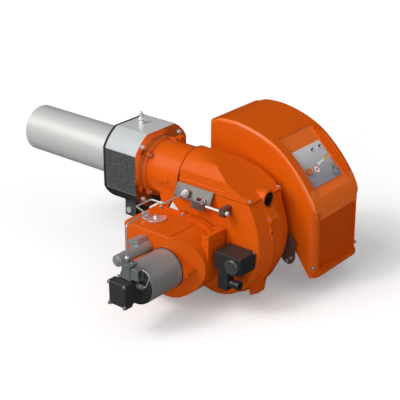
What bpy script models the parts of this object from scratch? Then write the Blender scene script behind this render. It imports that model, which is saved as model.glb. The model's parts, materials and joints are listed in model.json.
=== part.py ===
"""Monobloc forced-draught burner with a clamped blast tube, built as separate closed solids.

Metres, +Z up. The origin is the centre of the boiler-side gasket face on the blast tube's axis.
+X points into the boiler along the tube, +Y points to the motor and pump side.
"""
import math

import bmesh
import bpy
from mathutils import Matrix, Vector

MM = 0.001

# Driving sizes
GAP = 0.3 * MM                      # clearance between neighbouring solids
TUBE_RADIUS = 80.9 * MM             # blast tube outside
TUBE_WALL = 2.5 * MM
TUBE_REACH = 428.0 * MM             # from the boiler face to the tube's tip
COLLAR_DEPTH = 142.0 * MM           # gasket face to the collar's rear face
COLLAR_HALF = 128.0 * MM
COLLAR_FLAT = COLLAR_HALF - 59.0 * MM   # half length of each straight side
GASKET_THICK = 6.0 * MM
COLLAR_WALL = 8.0 * MM
BOLT_INSET = 36.5 * MM              # mounting bolts from the collar's straight sides
BOLT_SPACING = 2 * (COLLAR_HALF - BOLT_INSET)
BOLT_HOLE_RADIUS = 6.6 * MM
EAR_REACH = 80.0 * MM               # ears below the collar
EAR_DEPTH = 48.0 * MM
EAR_HALF = 35.0 * MM
SPLIT_HALF = 3.0 * MM
BODY_HALF = 88.0 * MM               # half width of body, volute and cover
NECK_RADIUS = BODY_HALF + 5.0 * MM
RING_RADIUS = NECK_RADIUS + 8.0 * MM    # head flange and body ring
RING_THICK = 8.0 * MM
BODY_WALL = 6.0 * MM
SPLIT_Z = 8.0 * MM                  # plane where the upper cover meets the body
COVER_FRONT = 290.0 * MM            # distance back to the cover's front edge
COVER_REAR = 572.0 * MM
COVER_TOP = 103.0 * MM
COVER_CREASE = 55.0 * MM
COVER_WALL = 4.0 * MM
COVER_LEDGE = 2.5 * MM              # the cover's sides stand inside its rim
FAN_X = -382.0 * MM                 # fan, motor and pump axis
FAN_Z = -200.0 * MM
FAN_RADIUS = 112.0 * MM
FAN_HALF = 52.0 * MM
INLET_RADIUS = 80.0 * MM
VOLUTE_START = FAN_RADIUS + 22.0 * MM
VOLUTE_GROWTH = 1.046 * MM          # radius gained for each degree of turn
VOLUTE_QUIET = 140                  # degrees turned before the volute opens
VOLUTE_DRAFT = 9.0 * MM             # the near wall is this much inside the rim
FAR_DRAFT = 20.0 * MM               # and the far wall this much
BOX_BACK = BODY_HALF + 8.0 * MM
BOX_DEPTH = 159.0 * MM
BOX_FACE = BOX_BACK + BOX_DEPTH
BOX_TOP = -93.0 * MM
BOX_FRONT = -205.0 * MM
BOX_RADIUS = 107.0 * MM
BOX_WALL = 6.0 * MM
BOX_SLOPE = 0.6                     # how fast the box face falls back behind the motor
BOX_SLOPE_X = -390.0 * MM
MOTOR_RADIUS = 65.5 * MM
MOTOR_LENGTH = 140.0 * MM
CAP_RADIUS = 19.0 * MM
CAP_X = -305.0 * MM
CAP_Z = -147.0 * MM
SHAFT_RADIUS = 7.0 * MM
PUMP_WIDTH = 68.0 * MM
PUMP_HEIGHT = 77.0 * MM
PUMP_DEPTH = 84.7 * MM              # motor end to the pump's cover
PIPE_RADIUS = 3.0 * MM
DAMPER_X = -270.0 * MM
DAMPER_Y = 176.0 * MM
DAMPER_HALF = 55.0 * MM
SWITCH_X = -554.0 * MM
SWITCH_WIDTH = 102.0 * MM
SWITCH_TOP = -136.0 * MM
SWITCH_HEIGHT = 59.0 * MM
SWITCH_DEPTH = 83.0 * MM
SWITCH_FACE = BODY_HALF + SWITCH_DEPTH
CAB_WIDTH = 267.0 * MM
CAB_NEAR = -BODY_HALF - 30.0 * MM   # cabinet wall next to the body
CAB_FAR = CAB_NEAR - CAB_WIDTH
CAB_WALL = 4.0 * MM
CAB_BASE_THICK = 10.0 * MM
HEAD_TRAVEL = 25.0 * MM             # regulation of the combustion head

COLLAR_REAR = -COLLAR_DEPTH
HEAD_FLANGE_REAR = COLLAR_REAR - 0.6 * MM - RING_THICK
BODY_RING_FRONT = HEAD_FLANGE_REAR - GAP
BODY_RING_REAR = BODY_RING_FRONT - RING_THICK - 1.0 * MM
MOTOR_FRONT = BOX_FACE + GAP + MOTOR_LENGTH
PUMP_FACE = MOTOR_FRONT + PUMP_DEPTH
VALVE_Y = PUMP_FACE - 52.0 * MM


def clear_scene():
    """Remove every object the new file starts with."""
    for item in list(bpy.data.objects):
        bpy.data.objects.remove(item, do_unlink=True)


def material(name, colour, roughness, metallic):
    """Return a Principled material with the given look."""
    mat = bpy.data.materials.get(name)
    if mat is None:
        mat = bpy.data.materials.new(name)
        mat.use_nodes = True
        shader = mat.node_tree.nodes["Principled BSDF"]
        shader.inputs["Base Color"].default_value = (*colour, 1.0)
        shader.inputs["Roughness"].default_value = roughness
        shader.inputs["Metallic"].default_value = metallic
        mat.diffuse_color = (*colour, 1.0)
    return mat


def orange():
    return material("orange_enamel", (0.76, 0.15, 0.016), 0.28, 0.0)


def bright_casting():
    return material("bright_casting", (0.55, 0.57, 0.58), 0.24, 1.0)


def zinc():
    return material("zinc_plate", (0.42, 0.38, 0.36), 0.42, 0.9)


def steel():
    return material("bright_steel", (0.62, 0.64, 0.65), 0.22, 1.0)


def motor_grey():
    return material("motor_grey", (0.27, 0.25, 0.24), 0.42, 0.2)


def black_cast():
    return material("black_casting", (0.035, 0.036, 0.037), 0.45, 0.1)


def black_plastic():
    return material("black_plastic", (0.045, 0.046, 0.047), 0.38, 0.0)


def valve_grey():
    return material("valve_grey", (0.12, 0.135, 0.14), 0.42, 0.3)


def tube_steel():
    return material("tube_steel", (0.58, 0.57, 0.54), 0.36, 0.4)


def gasket_dark():
    return material("gasket_fibre", (0.06, 0.06, 0.058), 0.85, 0.0)


def panel_grey():
    return material("panel_grey", (0.36, 0.36, 0.38), 0.35, 0.0)


def ceramic():
    return material("ceramic_white", (0.8, 0.78, 0.72), 0.35, 0.0)


# Solid builders. Each returns a closed bmesh.

def prism(outline, low, high, axis="Y"):
    """Extrude a closed outline between two planes of one axis.

    The outline holds (x, z) for axis Y, (y, z) for axis X and (x, y) for axis Z.
    """
    return loft([(low, outline), (high, outline)], axis)


def place(first, second, along, axis):
    if axis == "Y":
        return Vector((first, along, second))
    if axis == "X":
        return Vector((along, first, second))
    return Vector((first, second, along))


def loft(sections, axis="Y"):
    """Skin outlines of equal point count, given as (position, outline), and cap both ends."""
    bm = bmesh.new()
    rings = []
    for along, outline in sections:
        rings.append([bm.verts.new(place(p[0], p[1], along, axis)) for p in outline])
    count = len(rings[0])
    for one, two in zip(rings, rings[1:]):
        for i in range(count):
            j = (i + 1) % count
            bm.faces.new((one[i], one[j], two[j], two[i]))
    bm.faces.new(list(reversed(rings[0])))
    bm.faces.new(rings[-1])
    return tidy(bm)


def tidy(bm):
    bmesh.ops.remove_doubles(bm, verts=bm.verts, dist=1e-7)
    bmesh.ops.recalc_face_normals(bm, faces=bm.faces)
    return bm


def box(x0, x1, y0, y1, z0, z1, bevel=0.0, segments=2):
    """An axis-aligned block with all its edges rounded by bevel."""
    bm = prism([(x0, z0), (x1, z0), (x1, z1), (x0, z1)], y0, y1)
    if bevel:
        bmesh.ops.bevel(bm, geom=list(bm.edges), offset=bevel, segments=segments,
                        profile=0.5, affect="EDGES", clamp_overlap=True)
    return bm


def circle(a, b, radius, count=32, start=0.0):
    step = 2 * math.pi / count
    return [(a + radius * math.cos(start + i * step), b + radius * math.sin(start + i * step))
            for i in range(count)]


def cylinder(axis, centre, radius, low, high, count=32, chamfer=0.0):
    """A round bar between two positions of its axis; centre is given across the axis."""
    a, b = centre
    low, high = min(low, high), max(low, high)
    if not chamfer:
        return prism(circle(a, b, radius, count), low, high, axis)
    small = circle(a, b, radius - chamfer, count)
    full = circle(a, b, radius, count)
    return loft([(low, small), (low + chamfer, full), (high - chamfer, full), (high, small)], axis)


def turned(axis, centre, profile, count=32):
    """A solid turned about an axis from (position, radius) pairs."""
    a, b = centre
    return loft([(along, circle(a, b, radius, count)) for along, radius in profile], axis)


def hexagon(axis, centre, across, low, high):
    return prism(circle(centre[0], centre[1], across / math.sqrt(3), 6, math.pi / 6), low, high, axis)


def sweep(points, radius, bend, count=12):
    """A round rod along a bent line, each corner rounded to the bend radius."""
    path = [Vector(points[0])]
    for before, here, after in zip(points, points[1:], points[2:]):
        before, here, after = Vector(before), Vector(here), Vector(after)
        into = (before - here).normalized()
        out = (after - here).normalized()
        half = into.angle(out) / 2
        back = min(bend / math.tan(half), 0.45 * min((before - here).length, (after - here).length))
        size = back * math.tan(half)
        centre = here + (into + out).normalized() * (size / math.sin(half))
        start, end = here + into * back, here + out * back
        turn = (start - centre).angle(end - centre)
        pivot = (start - centre).cross(end - centre).normalized()
        for i in range(6):
            spin = Matrix.Rotation(turn * i / 5, 3, pivot)
            path.append(centre + spin @ (start - centre))
    path.append(Vector(points[-1]))
    bm = bmesh.new()
    side = None
    rings = []
    for i, point in enumerate(path):
        ahead = path[min(i + 1, len(path) - 1)] - path[max(i - 1, 0)]
        ahead.normalize()
        if side is None:
            side = ahead.orthogonal().normalized()
        side = (side - ahead * side.dot(ahead)).normalized()
        other = ahead.cross(side)
        ring = []
        for k in range(count):
            angle = 2 * math.pi * k / count
            ring.append(bm.verts.new(point + radius * (math.cos(angle) * side + math.sin(angle) * other)))
        rings.append(ring)
    for one, two in zip(rings, rings[1:]):
        for k in range(count):
            j = (k + 1) % count
            bm.faces.new((one[k], one[j], two[j], two[k]))
    bm.faces.new(list(reversed(rings[0])))
    bm.faces.new(rings[-1])
    return tidy(bm)


def slice_off(bm, point, normal):
    """Cut away what lies on the normal's side of a plane and close the cut."""
    geom = list(bm.verts) + list(bm.edges) + list(bm.faces)
    cut = bmesh.ops.bisect_plane(bm, geom=geom, dist=1e-7, plane_co=point, plane_no=normal,
                                 clear_outer=True)
    edges = [e for e in cut["geom_cut"] if isinstance(e, bmesh.types.BMEdge)]
    if edges:
        bmesh.ops.edgeloop_fill(bm, edges=edges)
    return tidy(bm)


def shift(bm, offset):
    bmesh.ops.translate(bm, verts=bm.verts, vec=offset)
    return bm


def as_object(bm, name):
    mesh = bpy.data.meshes.new(name)
    bm.to_mesh(mesh)
    bm.free()
    item = bpy.data.objects.new(name, mesh)
    bpy.context.scene.collection.objects.link(item)
    return item


def combine(item, tools, operation):
    """Join or cut an object with bmesh tools through exact Boolean modifiers."""
    cutters = []
    for number, tool in enumerate(tools):
        cutter = as_object(tool, f"{item.name}_tool_{number}")
        cutter.hide_render = True
        cutter.display_type = "WIRE"
        cutters.append(cutter)
        mod = item.modifiers.new(f"{operation}_{number}", "BOOLEAN")
        mod.operation = operation
        mod.solver = "EXACT"
        mod.object = cutter
    bpy.context.view_layer.update()
    graph = bpy.context.evaluated_depsgraph_get()
    shaped = bpy.data.meshes.new_from_object(item.evaluated_get(graph))
    item.modifiers.clear()
    old = item.data
    item.data = shaped
    bpy.data.meshes.remove(old)
    for cutter in cutters:
        mesh = cutter.data
        bpy.data.objects.remove(cutter, do_unlink=True)
        bpy.data.meshes.remove(mesh)
    for angle in (0.004, 0.0):
        bm = bmesh.new()
        bm.from_mesh(item.data)
        if angle:
            bmesh.ops.dissolve_limit(bm, angle_limit=angle, verts=bm.verts, edges=bm.edges)
        bmesh.ops.remove_doubles(bm, verts=bm.verts, dist=2e-6)
        closed = all(len(edge.link_faces) == 2 for edge in bm.edges)
        if closed or not angle:
            bm.to_mesh(item.data)
        bm.free()
        if closed:
            break
    return item


def solid(name, base, mat, join=(), cut=(), smooth=30, pivot=None):
    """Make one named sub-part from a base solid, pieces joined to it and pieces cut from it."""
    item = as_object(base, name)
    if join:
        combine(item, join, "UNION")
    if cut:
        combine(item, cut, "DIFFERENCE")
    item.data.materials.clear()
    item.data.materials.append(mat)
    for face in item.data.polygons:
        face.use_smooth = True
    item.data.set_sharp_from_angle(angle=math.radians(smooth))
    if pivot is not None:
        item.data.transform(Matrix.Translation(-Vector(pivot)))
        item.location = pivot
    return item


# Coupling flange clamped round the tube

def collar_outline(half, flat, soft=14 * MM, arc=3):
    """A square with flat corner facets and a small radius at each facet's edges."""
    back = soft * math.tan(math.pi / 8)
    points = []
    for quarter in range(4):
        turn = math.pi / 2 * quarter
        for start, middle in ((0, (half - soft, flat - back)),
                              (45, (flat - back, half - soft))):
            for i in range(arc + 1):
                angle = math.radians(start + 45 * i / arc)
                y = middle[0] + soft * math.cos(angle)
                z = middle[1] + soft * math.sin(angle)
                points.append((y * math.cos(turn) - z * math.sin(turn),
                               y * math.sin(turn) + z * math.cos(turn)))
    return points


def bolt_points():
    half = BOLT_SPACING / 2
    return [(half, half), (-half, half), (-half, -half), (half, -half)]


def coupling_parts():
    outline = collar_outline(COLLAR_HALF, COLLAR_FLAT)
    bore = TUBE_RADIUS + GAP
    def holes():
        return [cylinder("X", p, BOLT_HOLE_RADIUS, -0.3, 0.1, 16) for p in bolt_points()]

    solid("boiler_gasket", prism(outline, -GASKET_THICK, 0.0, "X"), gasket_dark(),
          cut=[cylinder("X", (0, 0), bore + 2 * MM, -0.05, 0.05, 48)] + holes())
    front = -GASKET_THICK - GAP
    split_low = -COLLAR_HALF - EAR_REACH
    ears = box(front - EAR_DEPTH, front, -EAR_HALF, EAR_HALF, split_low, -COLLAR_HALF + 10 * MM)
    ears = bevel_where(ears, 5 * MM, lambda e: edge_is_along(e, "X") and mid(e).z < -COLLAR_HALF - 20 * MM)
    hub = bore + COLLAR_WALL
    pocket_inner = collar_outline(COLLAR_HALF - COLLAR_WALL, COLLAR_FLAT - 3.3 * MM)
    pocket = as_object(prism(pocket_inner, COLLAR_REAR + 12 * MM, front - 12 * MM, "X"), "pocket")
    mounts = [cylinder("X", p, 16 * MM, -0.3, 0.1, 20) for p in bolt_points()]
    combine(pocket, [cylinder("X", (0, 0), hub, -0.3, 0.1, 48)] + mounts, "DIFFERENCE")
    combine(pocket, [box(-0.2, 0.1, -EAR_HALF, EAR_HALF, -0.3, -hub + 4 * MM),
                     box(-0.2, 0.1, -16 * MM, 16 * MM, hub - 5 * MM, 0.2)], "DIFFERENCE")
    window = as_object(prism(collar_outline(COLLAR_HALF - 22 * MM, COLLAR_FLAT - 12 * MM),
                             front - 13 * MM, front + 5 * MM, "X"), "window")
    combine(window, [cylinder("X", (0, 0), hub + 1 * MM, -0.3, 0.1, 48)]
            + [cylinder("X", p, 22 * MM, -0.3, 0.1, 20) for p in bolt_points()], "DIFFERENCE")
    combine(window, [box(-0.2, 0.1, -EAR_HALF - 2 * MM, EAR_HALF + 2 * MM, -0.3, -hub + 4 * MM),
                     box(-0.2, 0.1, -18 * MM, 18 * MM, hub - 5 * MM, 0.2)], "DIFFERENCE")
    tools = []
    for shape in (pocket, window):
        bm = bmesh.new()
        bm.from_mesh(shape.data)
        mesh = shape.data
        bpy.data.objects.remove(shape, do_unlink=True)
        bpy.data.meshes.remove(mesh)
        tools.append(bm)
    bolt_z = -COLLAR_HALF - 54 * MM
    bolt_x = front - 22 * MM
    clamp_hole = cylinder("Y", (bolt_x, bolt_z), 6.5 * MM, -0.1, 0.1, 20)
    set_hole = cylinder("Z", (-55 * MM, 0.0), 5.2 * MM, 0.05, 0.2, 16)
    base = prism(outline, COLLAR_REAR, front, "X")
    solid("coupling_flange", base, bright_casting(), join=[ears],
          cut=[cylinder("X", (0, 0), bore, -0.3, 0.1, 64), clamp_hole, set_hole,
               box(-0.2, 0.1, -SPLIT_HALF, SPLIT_HALF, -0.3, -0.02)] + tools + holes(), smooth=25)
    head_y = EAR_HALF + GAP
    bolt = cylinder("Y", (bolt_x, bolt_z), 6 * MM, -head_y - 16 * MM, head_y + 4 * MM, 20)
    solid("ear_clamp_bolt", bolt, steel(),
          join=[hexagon("Y", (bolt_x, bolt_z), 19 * MM, head_y, head_y + 8 * MM),
                hexagon("Y", (bolt_x, bolt_z), 19 * MM, -head_y - 10 * MM, -head_y)])
    top = COLLAR_HALF
    screw = cylinder("Z", (-55 * MM, 0.0), 4.9 * MM, bore + 1 * MM, top + 40 * MM, 16, 1 * MM)
    solid("top_set_screw", screw, steel(),
          join=[hexagon("Z", (-55 * MM, 0.0), 17 * MM, top + GAP, top + 9 * MM)])


def mid(edge):
    return (edge.verts[0].co + edge.verts[1].co) / 2


def edge_is_along(edge, axis):
    line = edge.verts[1].co - edge.verts[0].co
    index = "XYZ".index(axis)
    return all(abs(line[i]) < 1e-6 for i in range(3) if i != index)


def bevel_where(bm, offset, test, segments=3):
    """Round only the edges that pass a test."""
    edges = [e for e in bm.edges if test(e)]
    bmesh.ops.bevel(bm, geom=edges, offset=offset, segments=segments, profile=0.5,
                    affect="EDGES", clamp_overlap=True)
    return tidy(bm)


# Blast tube and the flange the body closes on

def head_parts():
    rear = HEAD_FLANGE_REAR
    front = rear + RING_THICK
    tube = turned("X", (0, 0), [(rear + 1 * MM, TUBE_RADIUS), (TUBE_REACH, TUBE_RADIUS)], 64)
    solid("blast_tube", tube, tube_steel(),
          cut=[cylinder("X", (0, 0), TUBE_RADIUS - TUBE_WALL, -0.3, 0.6, 64)])
    ring = cylinder("X", (0, 0), RING_RADIUS, rear, front, 64, 1 * MM)
    solid("head_flange", ring, orange(),
          cut=[cylinder("X", (0, 0), TUBE_RADIUS + GAP, -0.3, 0.3, 64)])


# Body casting: neck, duct and fan volute in one

def volute_radius(angle):
    """Outer volute radius at an angle in degrees, turning from the cut-off over the front."""
    turned_by = 52 - angle
    return VOLUTE_START + VOLUTE_GROWTH * max(0, turned_by - VOLUTE_QUIET)


def body_outline(inset, top, rear_cut, front_x):
    """Side outline of duct and volute in the XZ plane, moved inwards by inset on the volute."""
    points = [(front_x, top), (front_x, -42 * MM + inset * 0.3)]
    points.append((-251 * MM - inset * 0.5, -66 * MM + inset * 0.3))
    for step in range(0, 30):
        angle = 52 - step * 271 / 29
        radius = volute_radius(angle) - inset
        points.append((FAN_X + radius * math.cos(math.radians(angle)),
                       FAN_Z + radius * math.sin(math.radians(angle))))
    points.append((-COVER_REAR - 4 * MM + rear_cut, top))
    return points


def body_shell():
    soft = 6 * MM
    wide = BODY_HALF
    sections = [(-wide, body_outline(FAR_DRAFT + soft, SPLIT_Z - GAP / 2, 18 * MM, -180 * MM)),
                (-wide + 5 * MM, body_outline(FAR_DRAFT, SPLIT_Z - GAP / 2, 12 * MM, -180 * MM)),
                (-25 * MM, body_outline(0.0, SPLIT_Z - GAP / 2, 0.0, -180 * MM)),
                (33 * MM, body_outline(0.0, SPLIT_Z - GAP / 2, 0.0, -180 * MM)),
                (wide - 5 * MM, body_outline(VOLUTE_DRAFT, SPLIT_Z - GAP / 2, 12 * MM, -180 * MM)),
                (wide, body_outline(VOLUTE_DRAFT + soft, SPLIT_Z - GAP / 2, 18 * MM, -180 * MM))]
    return loft(sections)


def body_cavity():
    wall = BODY_WALL
    wide = BODY_HALF - wall
    front = -COVER_FRONT - 3 * MM

    def inner(inset, rear_cut):
        points = [(front, 0.05), (front, -74 * MM)]
        for step in range(1, 30):
            angle = 52 - step * 271 / 29
            radius = volute_radius(angle) - inset
            points.append((FAN_X + radius * math.cos(math.radians(angle)),
                           FAN_Z + radius * math.sin(math.radians(angle))))
        points.append((-COVER_REAR + wall + rear_cut, 0.05))
        return points

    return loft([(-wide, inner(FAR_DRAFT + wall + 2 * MM, 18 * MM)),
                 (-25 * MM, inner(wall, 8 * MM)),
                 (25 * MM, inner(wall, 8 * MM)),
                 (wide, inner(VOLUTE_DRAFT + wall + 3 * MM, 18 * MM))])


SIGHT = (0.0, 2.0 * MM)
SIGHT_RADIUS = 24.5 * MM
SIGHT_REAR = -579.0 * MM
ARM_X = -341.0 * MM
ARM_Z = -6.0 * MM
ARM_TIP = BODY_HALF + 38.0 * MM     # outer end of the nozzle line's fitting


def ring_lugs():
    """Four bosses for the ring screws, at forty degrees from the horizontal."""
    lugs = []
    for sy in (1, -1):
        for sz in (1, -1):
            angle = math.radians(40)
            centre = (sy * RING_RADIUS * math.cos(angle), sz * RING_RADIUS * math.sin(angle))
            lugs.append(cylinder("X", centre, 11 * MM, BODY_RING_REAR - 4 * MM,
                                 BODY_RING_FRONT - 0.7 * MM, 20))
    return lugs


def body_parts():
    neck = turned("X", (0, 0), [(-COVER_FRONT + 3 * MM, NECK_RADIUS),
                                (BODY_RING_REAR - 6 * MM, NECK_RADIUS),
                                (BODY_RING_REAR, NECK_RADIUS + 4 * MM),
                                (BODY_RING_FRONT - 1.5 * MM, NECK_RADIUS + 4 * MM)], 64)
    ring = cylinder("X", (0, 0), RING_RADIUS, BODY_RING_REAR, BODY_RING_FRONT, 64, 1 * MM)
    # above the split plane the neck ends where the cover starts
    above = box(-0.5, -COVER_FRONT, -0.2, 0.2, SPLIT_Z - GAP / 2, 0.2)
    lift_lug = box(-190 * MM, -168 * MM, -66 * MM, -40 * MM, 60 * MM, 97 * MM, 2 * MM)
    top_lug = box(-181 * MM, BODY_RING_REAR, -34 * MM, -24 * MM, 80 * MM, 97 * MM, 1.5 * MM)
    out = NECK_RADIUS + 4.5 * MM
    fin = prism([(-168 * MM, 9 * MM), (-205 * MM, 4 * MM), (-236 * MM, -9 * MM), (-214 * MM, -15 * MM),
                 (-172 * MM, -2 * MM)], out - 27 * MM, out)
    fin = slice_off(fin, Vector((-168 * MM, out - 3.5 * MM, 0)), Vector((0.07, 1, -0.25)))
    tap = cylinder("Y", (-243 * MM, 4 * MM), 9 * MM, out - 27 * MM, out - 1.5 * MM, 20, 1 * MM)
    rear_boss = cylinder("X", SIGHT, SIGHT_RADIUS + 4.5 * MM, SIGHT_REAR, -540 * MM, 32)
    boss_top = box(-0.7, -0.45, -0.1, 0.1, SPLIT_Z - GAP / 2, 0.1)
    boss = as_object(rear_boss, "boss")
    combine(boss, [boss_top], "DIFFERENCE")
    rear_boss = bmesh.new()
    rear_boss.from_mesh(boss.data)
    bpy.data.objects.remove(boss, do_unlink=True)
    wedge = prism([(-560 * MM, -20 * MM), (-592 * MM, -22 * MM), (-616 * MM, -50 * MM),
                   (-608 * MM, -74 * MM), (-580 * MM, -84 * MM)], -12 * MM, 30 * MM)
    lug = cylinder("X", (26 * MM, -92 * MM), 12 * MM, -617 * MM, -580 * MM, 20, 1 * MM)
    foot = prism([(-530 * MM, -285 * MM), (-540 * MM, -338 * MM), (-572 * MM, -320 * MM),
                  (-580 * MM, -275 * MM)], -4 * MM, 30 * MM)
    rim_outer = []
    rim_inner = []
    for step in range(0, 30):
        angle = 49 - step * 271 / 29
        for line, extra in ((rim_outer, 4.5 * MM), (rim_inner, -3 * MM)):
            radius = volute_radius(angle) + extra
            line.append((FAN_X + radius * math.cos(math.radians(angle)),
                         FAN_Z + radius * math.sin(math.radians(angle))))
    rim = prism(rim_outer[13:] + list(reversed(rim_inner[13:])), 23.2 * MM, 31.6 * MM)
    box_tab = prism([(-212 * MM, -50 * MM), (-262 * MM, -60 * MM), (-241 * MM, -99 * MM),
                     (-222 * MM, -99 * MM)], BODY_HALF - 12 * MM, BODY_HALF + 1.5 * MM)
    slot = box(ARM_X - HEAD_TRAVEL - 10 * MM, ARM_X + 10 * MM, BODY_HALF - 28 * MM, BODY_HALF + 12 * MM,
               ARM_Z - 9 * MM, ARM_Z + 9 * MM)
    scribe = box(-579 * MM, -545 * MM, BODY_HALF - 1.4 * MM, BODY_HALF + 5 * MM, -19 * MM, -17 * MM)
    solid("burner_body", body_shell(), orange(),
          join=[neck, ring, lift_lug, top_lug, fin, tap, rear_boss, wedge, lug, foot, rim, box_tab]
          + ring_lugs(),
          cut=[above, body_cavity(), slot, scribe,
               cylinder("X", (0, 0), NECK_RADIUS - BODY_WALL, -COVER_FRONT - 45 * MM, -0.1, 64),
               cylinder("Y", (FAN_X, FAN_Z), INLET_RADIUS, BODY_HALF - 18 * MM, BODY_HALF + 12 * MM, 48),
               cylinder("X", SIGHT, SIGHT_RADIUS, -0.7, -0.545, 32),
               cylinder("X", (26 * MM, -92 * MM), 4.5 * MM, -0.7, -0.603, 12)], smooth=28)


def arch(top, half, crease, base):
    """Cover section in the YZ plane: straight sides up to the crease, round above."""
    points = [(half, base), (half, crease)]
    centre = top - half - 2 * MM
    for i in range(1, 12):
        angle = math.radians(34 + (180 - 68) * (i - 1) / 10)
        radius = half + 2 * MM
        points.append((radius * 1.05 * math.cos(angle) * half / (half + 2 * MM),
                       centre + radius * math.sin(angle)))
    points += [(-half, crease), (-half, base)]
    return points


def cover_solid(shrink, base, front, rear):
    """The cover's outside, or its inside when shrunk."""
    half = BODY_HALF - COVER_LEDGE - shrink
    bm = prism(arch(COVER_TOP - shrink, half, COVER_CREASE - shrink * 0.5, base), rear, front, "X")
    slope = Vector((-0.44, 0, 0.9)).normalized()
    slice_off(bm, Vector((-383 * MM, 0, COVER_TOP)) - slope * shrink, slope)
    for sy in (1, -1):
        side = Vector((-0.62, sy * 0.66, 0.42)).normalized()
        slice_off(bm, Vector((-545 * MM, sy * half, 20 * MM)) - side * shrink, side)
    return bm


def cover_parts():
    base = SPLIT_Z + GAP / 2
    front = -COVER_FRONT - GAP
    rear = -COVER_REAR
    outer = cover_solid(0.0, base, front, rear)
    flange = prism([(front, BODY_HALF), (front, -BODY_HALF), (rear + 12 * MM, -BODY_HALF),
                    (rear - 2 * MM, -BODY_HALF + 12 * MM), (rear - 2 * MM, BODY_HALF - 12 * MM),
                    (rear + 12 * MM, BODY_HALF)], base, base + 5 * MM, "Z")
    pads = [box(-478 * MM, front - 1 * MM, min(a, b), max(a, b), base, base + 17 * MM, 1 * MM, 1)
            for a, b in ((BODY_HALF - 8 * MM, BODY_HALF - 1 * MM), (8 * MM - BODY_HALF, 1 * MM - BODY_HALF))]
    boss = as_object(cylinder("X", SIGHT, SIGHT_RADIUS + 4.5 * MM, SIGHT_REAR, -520 * MM, 32), "boss")
    shoulder = box(-560 * MM, -512 * MM, -SIGHT_RADIUS - 6 * MM, SIGHT_RADIUS + 6 * MM, 0, 30 * MM)
    shoulder = slice_off(shoulder, Vector((-520 * MM, 0, 30 * MM)), Vector((-0.25, 0, 1)))
    combine(boss, [shoulder], "UNION")
    combine(boss, [box(-0.7, -0.45, -0.1, 0.1, -0.1, base)], "DIFFERENCE")
    half_boss = bmesh.new()
    half_boss.from_mesh(boss.data)
    bpy.data.objects.remove(boss, do_unlink=True)
    solid("upper_cover", outer, orange(), join=[flange, half_boss] + pads,
          cut=[cover_solid(COVER_WALL, -0.05, front + 20 * MM, rear + 14 * MM),
               cylinder("X", SIGHT, SIGHT_RADIUS, -0.7, -0.52, 32)], smooth=24)


# Air intake box with the motor's seat

def box_outline(inset, corner):
    """D-shaped side outline of the intake box in the XZ plane."""
    points = [(BOX_FRONT - inset * corner, BOX_TOP - inset * corner)]
    for i in range(0, 17):
        angle = math.radians(90 + 180 * i / 16)
        radius = BOX_RADIUS - (inset * corner if i == 0 else inset)
        points.append((FAN_X + radius * math.cos(angle), FAN_Z + radius * math.sin(angle)))
    low = FAN_Z - BOX_RADIUS + inset
    points += [(-300 * MM, low), (-232 * MM, low + 14 * MM), (BOX_FRONT - inset * corner, -262 * MM + inset)]
    return points


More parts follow.
